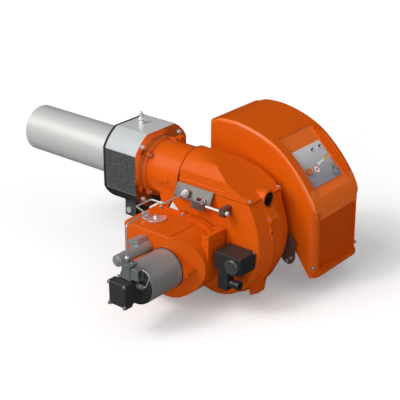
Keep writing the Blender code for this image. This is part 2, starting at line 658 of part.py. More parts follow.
def intake_parts():
    face = BOX_FACE
    outer = loft([(BOX_BACK, box_outline(0.0, 1.0)), (face - 14 * MM, box_outline(0.0, 1.0)),
                  (face - 6 * MM, box_outline(3 * MM, 0.4)), (face - 1.5 * MM, box_outline(8 * MM, 0.2)),
                  (face, box_outline(11 * MM, 0.3))])
    fall = Vector((-BOX_SLOPE, 1, 0)).normalized()
    slice_off(outer, Vector((BOX_SLOPE_X, face, 0)), fall)
    inner = prism(box_outline(BOX_WALL, 1.0), BOX_BACK + BOX_WALL, face - BOX_WALL)
    slice_off(inner, Vector((BOX_SLOPE_X, face, 0)) - fall * BOX_WALL, fall)
    lobe_line = circle(FAN_X, FAN_Z, MOTOR_RADIUS + 4 * MM, 48, math.pi / 48)
    lobe_line = [p for p in lobe_line if p[0] > FAN_X - 14 * MM]
    upper = [p for p in lobe_line if p[1] >= FAN_Z]
    lower = [p for p in lobe_line if p[1] < FAN_Z]
    tip = FAN_X - MOTOR_RADIUS - 9 * MM
    outline = sorted(lower, key=lambda p: p[0]) + sorted(upper, key=lambda p: -p[0])
    for i in range(0, 7):
        angle = math.radians(110 + 140 * i / 6)
        outline.append((tip + 10 * MM * math.cos(angle), FAN_Z + 10 * MM * math.sin(angle)))
    lobe = prism(outline, face - 65 * MM, face)
    slice_off(lobe, Vector((BOX_SLOPE_X, face, 0)) - fall * BOX_WALL * 0.5, -fall)
    collar = cylinder("Y", (FAN_X, FAN_Z), BOX_RADIUS + 8 * MM, BOX_BACK, BOX_BACK + 24 * MM, 64)
    block = prism([(-455 * MM, BOX_TOP + 2 * MM), (-455 * MM, -180 * MM), (-478 * MM, -215 * MM),
                   (-487 * MM, -190 * MM), (-487 * MM, BOX_TOP + 2 * MM)], BOX_BACK, BOX_BACK + 84 * MM)
    block = bevel_where(block, 7 * MM, lambda e: edge_is_along(e, "Z") and mid(e).y > BOX_BACK + 74 * MM
                        and mid(e).x > -460 * MM)
    rim = box(BOX_FRONT - 150 * MM, BOX_FRONT - 6 * MM, BOX_BACK, BOX_BACK + 7 * MM,
              BOX_TOP - 5 * MM, BOX_TOP + 7 * MM)
    lugs = [cylinder("Y", (x, BOX_TOP + 4 * MM), 9 * MM, BOX_BACK, BOX_BACK + 9 * MM, 20)
            for x in (-231 * MM, -323 * MM)]
    mouth = box(BOX_FRONT - 30 * MM, BOX_FRONT + 20 * MM, BOX_BACK + 18 * MM, face - 18 * MM,
                -244 * MM, BOX_TOP - 22 * MM)
    sunk = box(-452 * MM, -390 * MM, BOX_BACK + 28 * MM, face - 12 * MM, BOX_TOP - 3 * MM, -0.05)
    solid("intake_box", outer, orange(), join=[collar, block, rim] + lugs,
          cut=[inner, mouth, sunk, cylinder("Y", (FAN_X, FAN_Z), INLET_RADIUS, BOX_BACK - 16 * MM,
                                     BOX_BACK + 34 * MM, 48)],
          smooth=28)
    body = bpy.data.objects["intake_box"]
    combine(body, [lobe], "UNION")
    combine(body, [cylinder("Y", (FAN_X, FAN_Z), 26 * MM, face - 55 * MM, face + 45 * MM, 32),
                   cylinder("Z", (DAMPER_X, DAMPER_Y), 4.2 * MM, BOX_TOP - 20 * MM, -0.05, 16),
                   cylinder("Z", (DAMPER_X, DAMPER_Y), 4.2 * MM, -304 * MM, -0.28, 16)], "DIFFERENCE")
    for face_item in body.data.polygons:
        face_item.use_smooth = True
    body.data.set_sharp_from_angle(angle=math.radians(28))
    ring = cylinder("Y", (FAN_X, FAN_Z), BOX_RADIUS, BODY_HALF + GAP, BOX_BACK - GAP, 48)
    solid("inlet_ring", ring, black_plastic(),
          cut=[cylinder("Y", (FAN_X, FAN_Z), INLET_RADIUS + 3 * MM, 0, 0.2, 48)])


def damper_parts():
    low, high = -246 * MM, BOX_TOP - 20 * MM
    shaft = cylinder("Z", (DAMPER_X, DAMPER_Y), 4 * MM, -298 * MM, BOX_TOP + 1.6 * MM, 16)
    blade = box(DAMPER_X - 1.5 * MM, DAMPER_X + 1.5 * MM, DAMPER_Y - DAMPER_HALF, DAMPER_Y + DAMPER_HALF,
                low, high, 0.6 * MM, 1)
    solid("damper_blade", shaft, zinc(), join=[blade], pivot=(DAMPER_X, DAMPER_Y, BOX_TOP))
    base = BOX_TOP + 1.9 * MM
    half_disc = [(DAMPER_X + 36 * MM * math.cos(math.radians(a)),
                  DAMPER_Y + 36 * MM * math.sin(math.radians(a))) for a in range(35, 246, 10)]
    corners = [(DAMPER_X + 32 * MM, DAMPER_Y + 8 * MM), (DAMPER_X + 8 * MM, DAMPER_Y - 9 * MM)]
    plate = prism([corners[0]] + half_disc + [corners[1]], base, base + 2 * MM, "Z")
    tab = box(DAMPER_X + 22 * MM, DAMPER_X + 30 * MM, DAMPER_Y + 5 * MM, DAMPER_Y + 33 * MM,
              base, base + 20 * MM)
    link = box(DAMPER_X + 10 * MM, DAMPER_X + 30 * MM, DAMPER_Y + 5 * MM, DAMPER_Y + 33 * MM,
               base, base + 2 * MM)
    hub = cylinder("Z", (DAMPER_X, DAMPER_Y), 7 * MM, base, base + 8 * MM, 20)
    solid("damper_index", plate, zinc(), join=[tab, link, hub], pivot=(DAMPER_X, DAMPER_Y, base))


# Motor, capacitor and pump

def motor_parts():
    axis = (FAN_X, FAN_Z)
    seat = BOX_FACE + GAP
    stator = cylinder("Y", axis, MOTOR_RADIUS, seat, MOTOR_FRONT, 64, 1.5 * MM)
    solid("motor", stator, motor_grey(),
          cut=[cylinder("Y", axis, SHAFT_RADIUS + GAP, 0.2, 0.5, 32)])
    shield = turned("Y", axis, [(MOTOR_FRONT + GAP, MOTOR_RADIUS - 0.5 * MM),
                                (MOTOR_FRONT + 5 * MM, MOTOR_RADIUS - 2 * MM),
                                (MOTOR_FRONT + 12 * MM, MOTOR_RADIUS - 18 * MM),
                                (MOTOR_FRONT + 16 * MM, MOTOR_RADIUS - 26 * MM)], 48)
    solid("pump_flange", shield, black_cast(),
          cut=[cylinder("Y", axis, 20 * MM, 0.3, 0.6, 32)])
    start = MOTOR_FRONT + 16 * MM + GAP
    seam = PUMP_FACE - 34 * MM
    valve = (-378 * MM, VALVE_Y)
    w, h = PUMP_WIDTH / 2, PUMP_HEIGHT / 2

    def block_line(dw, dh, cut):
        return [(FAN_X - w + dw, FAN_Z - h + dh + cut), (FAN_X - w + dw + cut, FAN_Z - h + dh),
                (FAN_X + w - dw - cut, FAN_Z - h + dh), (FAN_X + w - dw, FAN_Z - h + dh + cut),
                (FAN_X + w - dw, FAN_Z + h - dh - cut), (FAN_X + w - dw - cut, FAN_Z + h - dh),
                (FAN_X - w + dw + cut, FAN_Z + h - dh), (FAN_X - w + dw, FAN_Z + h - dh - cut)]

    solid("pump_body", prism(block_line(1 * MM, -3 * MM, 10 * MM), start, seam - GAP), black_cast(),
          cut=[cylinder("Y", axis, 18 * MM, 0.3, seam - 8 * MM, 32)])
    lid = loft([(seam, block_line(0, 0, 4 * MM)), (PUMP_FACE - 3 * MM, block_line(0, 0, 4 * MM)),
                (PUMP_FACE, block_line(2 * MM, 2 * MM, 3 * MM))])
    solid("pump_cover", lid, black_cast())
    steps = ((1 * MM - GAP, 10 * MM), (-6 * MM, 10 * MM), (-6.1 * MM, 7 * MM), (-9 * MM, 7 * MM),
             (-9.1 * MM, 9 * MM), (-20 * MM, 9 * MM))
    fitting = turned("X", (VALVE_Y - 4 * MM, -180 * MM), [(FAN_X - w + a, r) for a, r in steps], 16)
    solid("pump_side_fitting", fitting, valve_grey())
    top = FAN_Z + h + 3 * MM
    plate = box(-409 * MM, -362 * MM, start + 1 * MM, seam + 3 * MM, top + GAP, top + 5 * MM)
    coil = box(-405 * MM, -372 * MM, start + 3 * MM, seam + 2 * MM, top + 4 * MM, top + 48 * MM, 2 * MM)
    cap = hexagon("Z", valve, 15 * MM, top + 47 * MM, top + 58 * MM)
    rim = box(-409 * MM, -368 * MM, start + 1 * MM, seam + 5 * MM, top + 42 * MM, top + 48.5 * MM, 1.5 * MM)
    hole = cylinder("Z", valve, PIPE_RADIUS + GAP, top + 50 * MM, top + 70 * MM, 16)
    solid("valve_coil", coil, valve_grey(), join=[plate, rim, cap], cut=[hole])
    socket = box(-436 * MM, -405 * MM - GAP, start + 8 * MM, seam, top + 5 * MM, top + 41 * MM, 1.5 * MM)
    solid("valve_socket", socket, valve_grey(),
          cut=[box(-450 * MM, -420 * MM, start + 12 * MM, seam - 4 * MM, top + 9 * MM, top + 37 * MM)])
    can = cylinder("Y", (CAP_X, CAP_Z), CAP_RADIUS, seat, MOTOR_FRONT + 1 * MM, 48, 1 * MM)
    solid("capacitor", can, motor_grey())
    terminal = box(-20 * MM, 20 * MM, seat, seat + 46.7 * MM, -8 * MM, 20 * MM)
    bmesh.ops.rotate(terminal, verts=terminal.verts, cent=(0, 0, 0),
                     matrix=Matrix.Rotation(math.radians(16), 3, "Y"))
    shift(terminal, Vector((CAP_X + 17 * MM, 0, CAP_Z + 10 * MM)))
    solid("terminal_box", terminal, motor_grey(),
          cut=[cylinder("Y", (CAP_X, CAP_Z), CAP_RADIUS + GAP, 0.2, 0.4, 48)])


def rotor_parts():
    axis = (FAN_X, FAN_Z)
    shaft = turned("Y", axis, [(-62 * MM, SHAFT_RADIUS), (MOTOR_FRONT + 19 * MM, SHAFT_RADIUS)], 24)
    collar = cylinder("Y", axis, 16 * MM, 95 * MM, 110 * MM, 24)
    solid("motor_shaft", shaft, steel(), join=[collar], pivot=(FAN_X, 0, FAN_Z))
    back = cylinder("Y", axis, FAN_RADIUS, -FAN_HALF, -FAN_HALF + 4 * MM, 48)
    front = turned("Y", axis, [(FAN_HALF - 4 * MM, FAN_RADIUS), (FAN_HALF, FAN_RADIUS)], 48)
    blades = []
    for i in range(14):
        angle = 2 * math.pi * i / 14
        line = []
        for along, side in ((FAN_RADIUS - 2 * MM, 0.0), (FAN_RADIUS - 18 * MM, 7 * MM),
                            (FAN_RADIUS - 36 * MM, 9 * MM), (FAN_RADIUS - 36 * MM, 12 * MM),
                            (FAN_RADIUS - 18 * MM, 10 * MM), (FAN_RADIUS - 2 * MM, 3 * MM)):
            line.append((FAN_X + along * math.cos(angle) - side * math.sin(angle),
                         FAN_Z + along * math.sin(angle) + side * math.cos(angle)))
        blades.append(prism(line, -FAN_HALF + 1 * MM, FAN_HALF - 1 * MM))
    hub = cylinder("Y", axis, 20 * MM, -FAN_HALF, -FAN_HALF + 34 * MM, 32)
    wheel = as_object(front, "rim")
    combine(wheel, [cylinder("Y", axis, FAN_RADIUS - 34 * MM, 0, 0.1, 48)], "DIFFERENCE")
    rim = bmesh.new()
    rim.from_mesh(wheel.data)
    bpy.data.objects.remove(wheel, do_unlink=True)
    solid("fan_wheel", back, zinc(), join=[hub, rim] + blades,
          cut=[cylinder("Y", axis, SHAFT_RADIUS + GAP, -0.1, 0.1, 24)], pivot=(FAN_X, 0, FAN_Z))
    joint = cylinder("Y", axis, 14 * MM, MOTOR_FRONT + 7 * MM, MOTOR_FRONT + 34 * MM, 24)
    bore = cylinder("Y", axis, SHAFT_RADIUS + GAP, 0.3, MOTOR_FRONT + 19 * MM + GAP, 24)
    solid("pump_coupling", joint, black_plastic(), cut=[bore], pivot=(FAN_X, MOTOR_FRONT, FAN_Z))


def pipe_part():
    top = FAN_Z + PUMP_HEIGHT / 2 + 3 * MM
    points = [(-378 * MM, VALVE_Y, top + 51 * MM), (-378 * MM, VALVE_Y, 8 * MM),
              (-354 * MM, BOX_FACE + 61 * MM, 0.0), (-292 * MM, BOX_FACE + 35 * MM, -5 * MM),
              (-292 * MM, BOX_FACE - 33 * MM, -5 * MM), (ARM_X, BOX_FACE - 36 * MM, ARM_Z),
              (ARM_X, ARM_TIP + GAP, ARM_Z)]
    solid("oil_pipe", sweep(points, PIPE_RADIUS, 7 * MM), steel())


# Combustion head and its regulation

def head_inner_parts():
    plate_top, plate_low = 13 * MM, -27 * MM
    lean = 21 * MM
    thick = 2.5 * MM
    y0 = BODY_HALF + 2.2 * MM
    section = [(y0, plate_top), (y0 + lean, plate_low), (y0 + lean, plate_low - 24 * MM),
               (y0 + lean + thick, plate_low - 24 * MM), (y0 + lean + thick, plate_low + 0.5 * MM),
               (y0 + thick, plate_top + 1 * MM)]
    plate = prism(section, -437 * MM, -COVER_FRONT - 2 * MM, "X")
    notch_front = box(-363 * MM, -0.2, 0.05, 0.2, -0.08, plate_low - 2 * MM)
    notch_rear = box(-0.5, -415 * MM, 0.05, 0.2, -0.08, plate_low - 2 * MM)
    lock_slot = box(-417 * MM, -382 * MM, 0.05, 0.2, -21.5 * MM, -12.5 * MM)
    fitting = turned("Y", (ARM_X, ARM_Z), [(ARM_TIP - 15.5 * MM, 13 * MM), (ARM_TIP - 9 * MM, 13 * MM),
                                           (ARM_TIP - 8.9 * MM, 10 * MM), (ARM_TIP - 2 * MM, 10 * MM),
                                           (ARM_TIP, 6 * MM)], 24)
    solid("regulation_plate", plate, zinc(),
          cut=[notch_front, notch_rear, lock_slot, cylinder("Y", (ARM_X, ARM_Z), 7.4 * MM, 0.05, 0.2, 20)])
    line = cylinder("X", (0, 0), 9 * MM, -350 * MM, 300 * MM, 24, 1 * MM)
    arm = cylinder("Y", (ARM_X, ARM_Z), 7 * MM, -4 * MM, ARM_TIP - 14 * MM, 20)
    solid("nozzle_line", line, steel(), join=[arm, fitting])
    nozzle = turned("X", (0, 0), [(300 * MM + GAP, 9 * MM), (322 * MM, 9 * MM), (332 * MM, 4 * MM)], 24)
    solid("nozzle", nozzle, material("brass", (0.66, 0.47, 0.17), 0.3, 1.0))
    disc = turned("X", (0, 0), [(336 * MM, 62 * MM), (338 * MM, 64 * MM), (340 * MM, 64 * MM)], 48)
    slots = []
    for i in range(8):
        angle = math.pi / 4 * i
        bm = box(0.33, 0.35, 28 * MM, 54 * MM, -2 * MM, 2 * MM)
        bmesh.ops.rotate(bm, verts=bm.verts, cent=(0, 0, 0), matrix=Matrix.Rotation(angle + 0.2, 3, "X"))
        slots.append(bm)
    legs = []
    for i in range(3):
        angle = math.radians(90 + 120 * i)
        leg = prism([(math.cos(angle - 0.1) * 14 * MM, math.sin(angle - 0.1) * 14 * MM),
                     (math.cos(angle - 0.02) * 56 * MM, math.sin(angle - 0.02) * 56 * MM),
                     (math.cos(angle + 0.02) * 56 * MM, math.sin(angle + 0.02) * 56 * MM),
                     (math.cos(angle + 0.1) * 14 * MM, math.sin(angle + 0.1) * 14 * MM)],
                    281 * MM, 338 * MM, "X")
        legs.append(leg)
    clip = cylinder("X", (0, 0), 17 * MM, 276 * MM, 292 * MM, 24)
    saddle = box(279 * MM, 289 * MM, -28 * MM, 28 * MM, 8 * MM, 32 * MM, 1 * MM)
    rods = [cylinder("X", (side * 20 * MM, 24 * MM), 5 * MM + GAP, 270 * MM, 300 * MM, 16)
            for side in (-1, 1)]
    solid("flame_disc", disc, material("scaled_steel", (0.2, 0.19, 0.185), 0.5, 0.9),
          join=[clip, saddle] + legs,
          cut=slots + rods + [cylinder("X", (0, 0), 12 * MM, 0.33, 0.35, 24),
                       cylinder("X", (0, 0), 9 * MM + GAP, 0.27, 0.337, 24)])
    for name, side in (("left", 1), ("right", -1)):
        rod = cylinder("X", (side * 20 * MM, 24 * MM), 5 * MM, 215 * MM, 306 * MM, 16)
        wire = sweep([(300 * MM, side * 20 * MM, 24 * MM), (322 * MM, side * 20 * MM, 24 * MM),
                      (331 * MM, side * 6 * MM, 13 * MM)], 1.2 * MM, 2 * MM, 8)
        solid(f"electrode_{name}", rod, ceramic(), join=[wire])


SPINDLE_Y = BODY_HALF + 30.0 * MM
SPINDLE_Z = -27.0 * MM
SPINDLE_X = -496.0 * MM


def regulation_parts():
    lock = cylinder("Y", (-412 * MM, -17 * MM), 4 * MM, BODY_HALF + GAP, BODY_HALF + 34 * MM, 16)
    head = hexagon("Y", (-412 * MM, -17 * MM), 13 * MM, BODY_HALF + 28 * MM, BODY_HALF + 35 * MM)
    solid("lock_screw", lock, steel(), join=[head])
    end = SPINDLE_X - 18 * MM
    rod = cylinder("X", (SPINDLE_Y, SPINDLE_Z), 4 * MM, end + 8 * MM, -426 * MM, 20)
    head = cylinder("X", (SPINDLE_Y, SPINDLE_Z), 7 * MM, end, end + 9 * MM, 20, 0.6 * MM)
    solid("adjust_spindle", rod, steel(), join=[head],
          cut=[box(end - 5 * MM, end + 3 * MM, SPINDLE_Y - 0.9 * MM, SPINDLE_Y + 0.9 * MM, -0.05, 0)],
          pivot=(SPINDLE_X, SPINDLE_Y, SPINDLE_Z))
    low = -47 * MM
    outline = [(BODY_HALF + GAP, -12 * MM), (SPINDLE_Y + 14 * MM, -12 * MM),
               (SPINDLE_Y + 14 * MM, SPINDLE_Z)]
    for i in range(1, 8):
        angle = -math.pi * i / 8
        outline.append((SPINDLE_Y + 14 * MM * math.cos(angle),
                        SPINDLE_Z + 14 * MM * math.sin(angle) - 2 * MM))
    outline += [(SPINDLE_Y - 14 * MM, SPINDLE_Z), (BODY_HALF + GAP, low)]
    solid("spindle_bracket", prism(outline, SPINDLE_X - 8 * MM, SPINDLE_X + 8 * MM, "X"), zinc(),
          cut=[cylinder("X", (SPINDLE_Y, SPINDLE_Z), 4 * MM + GAP, -0.6, -0.4, 20)])


# Air pressure switch on the volute wall

def switch_parts():
    left, right = SWITCH_X + SWITCH_WIDTH / 2, SWITCH_X - SWITCH_WIDTH / 2
    low = SWITCH_TOP - SWITCH_HEIGHT
    wall = BODY_HALF + GAP
    case = box(right, left, wall + 5 * MM, SWITCH_FACE, low, SWITCH_TOP, 3 * MM)
    foot = box(right + 12 * MM, left - 12 * MM, wall, wall + 8 * MM, low + 8 * MM, SWITCH_TOP - 8 * MM)
    dial = (SWITCH_X - 20 * MM, SWITCH_TOP - 32 * MM)
    solid("pressure_switch", case, black_plastic(), join=[foot],
          cut=[cylinder("Y", dial, 4 * MM, SWITCH_FACE - 12 * MM, 0.3, 16)])
    knob = turned("Y", dial, [(SWITCH_FACE - 10 * MM, 3.9 * MM), (SWITCH_FACE + GAP, 3.9 * MM),
                              (SWITCH_FACE + GAP * 1.2, 26 * MM), (SWITCH_FACE + 7 * MM, 26 * MM),
                              (SWITCH_FACE + 10 * MM, 22 * MM)], 40)
    solid("switch_dial", knob, black_plastic(), pivot=(dial[0], SWITCH_FACE, dial[1]))
    notch = box(right - 5 * MM, right + 14 * MM, wall, wall + 16 * MM,
                SWITCH_TOP - 9 * MM, SWITCH_TOP + 5 * MM)
    combine(bpy.data.objects["pressure_switch"], [notch], "DIFFERENCE")
    plug = box(-552 * MM, -514 * MM, SWITCH_FACE - 39 * MM, SWITCH_FACE - 4 * MM,
               low - 67 * MM, low - GAP, 2 * MM)
    solid("switch_plug", plug, black_plastic())
    gland_at = (SWITCH_FACE - 21 * MM, low - 43 * MM)
    gland = turned("X", gland_at, [(-552 * MM - GAP, 13 * MM), (-572 * MM, 13 * MM),
                                                (-572.1 * MM, 11 * MM), (-575 * MM, 11 * MM),
                                                (-575.1 * MM, 15 * MM), (-590 * MM, 15 * MM)], 24)
    solid("cable_gland", gland, black_plastic(),
          cut=[cylinder("X", gland_at, 8.5 * MM, -0.7, -560 * MM, 20)])


# Electrical cabinet

CAB_PROFILE = [(-252, 153), (-268, 156.5), (-292, 165.5), (-330, 168.5), (-372, 167), (-444, 152),
               (-512, 124), (-564, 86), (-607, 44), (-645, -3), (-668, -42), (-676, -68)]
CAB_FRONT = -250.0 * MM
CAB_FLOOR = -8.0 * MM
CAB_SOFT = 13.0 * MM                # radius along the hood's side edges
CAB_CORNER = 26.0 * MM              # radius of its upright rear corners
CAB_REAR = -682.0 * MM
CAB_LOW = -287.0 * MM


def smooth_line(points, steps=3):
    """Points of a smooth curve through the given ones."""
    line = []
    ends = [points[0] * 2 - points[1]] + points + [points[-1] * 2 - points[-2]]
    for a, b, c, d in zip(ends, ends[1:], ends[2:], ends[3:]):
        for i in range(steps):
            t = i / steps
            line.append(0.5 * (b * 2 + (c - a) * t + (a * 2 - b * 5 + c * 4 - d) * t * t
                               + (b * 3 - a - c * 3 + d) * t * t * t))
    return line + [points[-1]]


def cab_outline(grow, floor_z):
    """Side outline of the hood in the XZ plane. Grow is negative for its inside."""
    front = CAB_FRONT + grow
    points = [(front, floor_z), (front, 144 * MM)]
    curve = smooth_line([Vector((x * MM, 0, z * MM)) for x, z in CAB_PROFILE])
    for i, point in enumerate(curve):
        ahead = curve[min(i + 1, len(curve) - 1)] - curve[max(i - 1, 0)]
        out = Vector((ahead.z, 0, -ahead.x)).normalized()
        moved = point + out * grow
        points.append((min(moved.x, front - 0.5 * MM), moved.z))
    points.append((CAB_REAR - grow, CAB_LOW + 5 * MM - grow * 1.43))
    points.append((CAB_REAR + 5 * MM - grow, CAB_LOW - grow * 1.43))
    points.append((-480 * MM, floor_z))
    return points


def corner_tool(side, rear, width, radius, low, high, taper):
    """What lies outside a rounded upright rear corner; side is 1 for the near wall."""
    sections = []
    for z, size in ((low, radius), (high - taper, radius), (high, radius * 0.4)):
        lean = rear + (0 if z < high - taper else 5 * MM)
        outer = 40 * MM
        line = [(lean - outer, width + side * outer), (lean + size, width + side * outer)]
        for i in range(7):
            angle = math.pi / 2 * i / 6
            line.append((lean + size - size * math.sin(angle),
                         width - side * (size - size * math.cos(angle))))
        line.append((lean - outer, width - side * size))
        sections.append((z, line))
    return loft(sections, "Z")


PANEL_TOP = Vector((-497.0 * MM, 0, 129.0 * MM))
PANEL_LOW = Vector((-660.0 * MM, 0, -26.0 * MM))
PANEL_DIR = (PANEL_LOW - PANEL_TOP).normalized()
PANEL_OUT = Vector((PANEL_DIR.z, 0, -PANEL_DIR.x))


def panel_box(start, end, y0, y1, low, high):
    """A block standing on the panel plane, start and end measured down the slope."""
    points = []
    for along, rise in ((start, low), (end, low), (end, high), (start, high)):
        p = PANEL_TOP + PANEL_DIR * along + PANEL_OUT * rise
        points.append((p.x, p.z))
    return prism(points, y0, y1)


def panel_bar(along, y, radius, low, high, count=24):
    """A round piece standing on the panel plane."""
    bm = cylinder("Z", (0, 0), radius, low, high, count, min(0.8 * MM, radius / 4))
    turn = PANEL_OUT.to_track_quat("Z", "Y").to_matrix()
    bmesh.ops.rotate(bm, verts=bm.verts, cent=(0, 0, 0), matrix=turn)
    return shift(bm, PANEL_TOP + PANEL_DIR * along + Vector((0, y, 0)))


def panel_lathe(base, profile, lean, count=16):
    """A turned piece standing on the panel and leaning up the slope by an angle."""
    bm = turned("Z", (0, 0), profile, count)
    turn = Matrix.Rotation(lean, 3, "Y") @ PANEL_OUT.to_track_quat("Z", "Y").to_matrix()
    bmesh.ops.rotate(bm, verts=bm.verts, cent=(0, 0, 0), matrix=turn)
    return shift(bm, base)


PANEL_LENGTH = (PANEL_LOW - PANEL_TOP).length
PANEL_FLOOR = -1.5 * MM
PANEL_NEAR = CAB_NEAR - 42 * MM
PANEL_FAR = CAB_FAR + 48 * MM
TOGGLE_PIVOT = PANEL_FLOOR + 1.4 * MM
TOGGLE_LEAN = math.radians(12)


def cabinet_parts():
    far, near = CAB_FAR, CAB_NEAR
    sections = []
    for i in range(5):
        angle = math.pi / 2 * i / 4
        line = cab_outline(-CAB_SOFT * (1 - math.sin(angle)), CAB_FLOOR)
        sections.append((CAB_SOFT * (1 - math.cos(angle)), line))
    outer = loft([(far + along, line) for along, line in sections]
                 + [(near - along, line) for along, line in reversed(sections)])
    wall = CAB_WALL
    inner_line = []
    for x, z in cab_outline(-wall, CAB_FLOOR - 30 * MM):
        point = Vector((x, 0, z))
        rise = (point - PANEL_TOP).dot(PANEL_OUT)
        top = PANEL_FLOOR - wall
        if rise > top:
            point = point - PANEL_OUT * (rise - top)
        inner_line.append((point.x, point.z))
    inner_line[-1] = (-486 * MM, CAB_FLOOR - 30 * MM)
    inner_line[-2] = (CAB_REAR + 6 * MM, CAB_LOW - 25 * MM)
    inner = prism(inner_line, far + CAB_CORNER + 4 * MM, near - CAB_CORNER - 4 * MM)
    recess = panel_box(-2 * MM, PANEL_LENGTH + 2 * MM, PANEL_FAR - 8 * MM, PANEL_NEAR, PANEL_FLOOR, 60 * MM)
    # the far wall of the recess climbs in two steps
    steps = [panel_box(14 * MM * i, PANEL_LENGTH - 12 * MM * i, PANEL_FAR - 10 * MM * i - 8 * MM,
                       PANEL_FAR, PANEL_FLOOR + 4.5 * MM * i, 60 * MM) for i in (1, 2)]
    rear_panel = prism([(-0.72, -97 * MM), (-676 * MM + 2 * MM, -97 * MM),
                        (CAB_REAR + 2.2 * MM, CAB_LOW + 15 * MM), (-0.72, CAB_LOW + 15 * MM)],
                       far + 8 * MM, near - CAB_CORNER - 8 * MM)
    corners = [corner_tool(1, CAB_REAR, near, CAB_CORNER, -0.33, -45 * MM, 45 * MM),
               corner_tool(-1, CAB_REAR, far, CAB_CORNER, -0.33, -45 * MM, 45 * MM)]
    hole_list = []
    for along, y, radius in PANEL_HOLES:
        hole_list.append(panel_bar(along, y, radius, PANEL_FLOOR - 12 * MM, 20 * MM, 20))
    solid("cabinet_hood", outer, orange(), cut=[inner, recess] + steps + [rear_panel] + corners + hole_list,
          smooth=26)
    # the base is a bent tray under the hood's slanted open side, with an upstand at the rear
    lip = 3 * MM
    rear = CAB_REAR - lip - 3 * MM
    low = CAB_LOW - 7 * MM
    line = [(CAB_FRONT + lip, CAB_FLOOR - GAP), (CAB_FRONT + lip, CAB_FLOOR - CAB_BASE_THICK),
            (-473 * MM, CAB_FLOOR - CAB_BASE_THICK), (rear + 19 * MM, low), (rear, low),
            (rear, low + 18 * MM), (CAB_REAR - GAP, low + 18 * MM), (CAB_REAR - GAP, CAB_LOW - GAP),
            (CAB_REAR + 5 * MM + 0.4 * MM, CAB_LOW - GAP), (-479.4 * MM, CAB_FLOOR - GAP)]
    solid("cabinet_base", prism(line, far - lip, near + lip), orange(),
          cut=[corner_tool(1, rear, near + lip, CAB_CORNER + 5 * MM, -0.34, -0.1, 30 * MM),
               corner_tool(-1, rear, far - lip, CAB_CORNER + 5 * MM, -0.34, -0.1, 30 * MM)])
    panel = panel_box(PANEL_MARGIN, PANEL_MARGIN + 135 * MM, PANEL_FAR + 4 * MM, PANEL_NEAR - 7 * MM,
                      PANEL_FLOOR + GAP, PANEL_FLOOR + 2.5 * MM)
    cuts = [panel_bar(along, y, radius, -10 * MM, 20 * MM, 20) for along, y, radius in PANEL_HOLES]
    solid("panel_plate", panel, panel_grey(), cut=cuts)
    for name, (along, y, radius), rise, mat in PANEL_PIECES:
        stem = panel_bar(along, y, radius - GAP, PANEL_FLOOR - 9 * MM, rise - 1 * MM, 20)
        base = PANEL_TOP + PANEL_DIR * along + Vector((0, y, 0))
        if name == "selector_knob":
            cap = panel_bar(along, y, 19 * MM, PANEL_FLOOR + 3 * MM, rise, 32)
            grip = panel_box(along - 12 * MM, along + 12 * MM, y - 3 * MM, y + 3 * MM,
                             PANEL_FLOOR + 4 * MM, rise + 4 * MM)
            solid(name, stem, mat(), join=[cap, grip], pivot=base)
        elif name == "push_button":
            cap = panel_bar(along, y, 12 * MM, PANEL_FLOOR + 7 * MM, rise, 28)
            solid(name, stem, mat(), join=[cap], pivot=base)
        else:
            base += PANEL_OUT * TOGGLE_PIVOT
            ball = radius - GAP
            profile = [(-7 * MM, 2 * MM), (-3.4 * MM, 2 * MM), (-2.6 * MM, 0.7 * ball),
                       (-1.3 * MM, 0.94 * ball), (0, ball), (1.3 * MM, 0.94 * ball),
                       (2.6 * MM, 2.3 * MM), (rise, 2.6 * MM), (rise + 1.6 * MM, 1.6 * MM)]
            stem.free()
            solid(name, panel_lathe(base, profile, TOGGLE_LEAN), mat(), pivot=base)


PANEL_MARGIN = 58.0 * MM
PANEL_HOLES = ((PANEL_MARGIN + 20 * MM, PANEL_FAR + 69 * MM, 4 * MM),
               (PANEL_MARGIN + 20 * MM, PANEL_FAR + 26 * MM, 4 * MM),
               (PANEL_MARGIN + 80 * MM, PANEL_NEAR - 30 * MM, 7 * MM),
               (PANEL_MARGIN + 110 * MM, PANEL_FAR + 32 * MM, 7 * MM))
PANEL_PIECES = (("toggle_switch_a", PANEL_HOLES[0], 11 * MM, black_plastic),
                ("toggle_switch_b", PANEL_HOLES[1], 11 * MM, black_plastic),
                ("push_button", PANEL_HOLES[2], 8 * MM, orange),
                ("selector_knob", PANEL_HOLES[3], 9 * MM, panel_grey))


def bracket_parts():
    """Steel brackets that carry the cabinet on the far side of the body."""
    wall = -BODY_HALF - GAP
    near = CAB_NEAR + 3 * MM + GAP
    outline = [(-545 * MM, -90 * MM), (-562 * MM, -100 * MM), (-622 * MM, -182 * MM),
               (-622 * MM, -232 * MM), (-612 * MM, -250 * MM), (-598 * MM, -257 * MM),
               (-582 * MM, -252 * MM), (-545 * MM, -215 * MM)]
    outside, inside = wall - 11.7 * MM, wall - 7.7 * MM
    plate = prism(outline, outside, inside)
    pads = [cylinder("Y", p, 12 * MM, outside + 2 * MM, wall, 20)
            for p in ((-556 * MM, -120 * MM), (-560 * MM, -200 * MM))]
    out = [cylinder("Y", p, 8 * MM, near, outside + 2 * MM, 20)
           for p in ((-607 * MM, -190 * MM), (-598 * MM, -180 * MM))]
    solid("cabinet_bracket_rear", plate, zinc(), join=pads + out)
    block = box(-345 * MM, -300 * MM, near, wall, -17 * MM, -10 * MM, 1 * MM)
    solid("cabinet_bracket_front", block, zinc())


def main():
    clear_scene()
    coupling_parts()
    head_parts()
    body_parts()
    cover_parts()
    intake_parts()
    damper_parts()
    motor_parts()
    rotor_parts()
    pipe_part()
    head_inner_parts()
    regulation_parts()
    switch_parts()
    cabinet_parts()
    bracket_parts()


main()
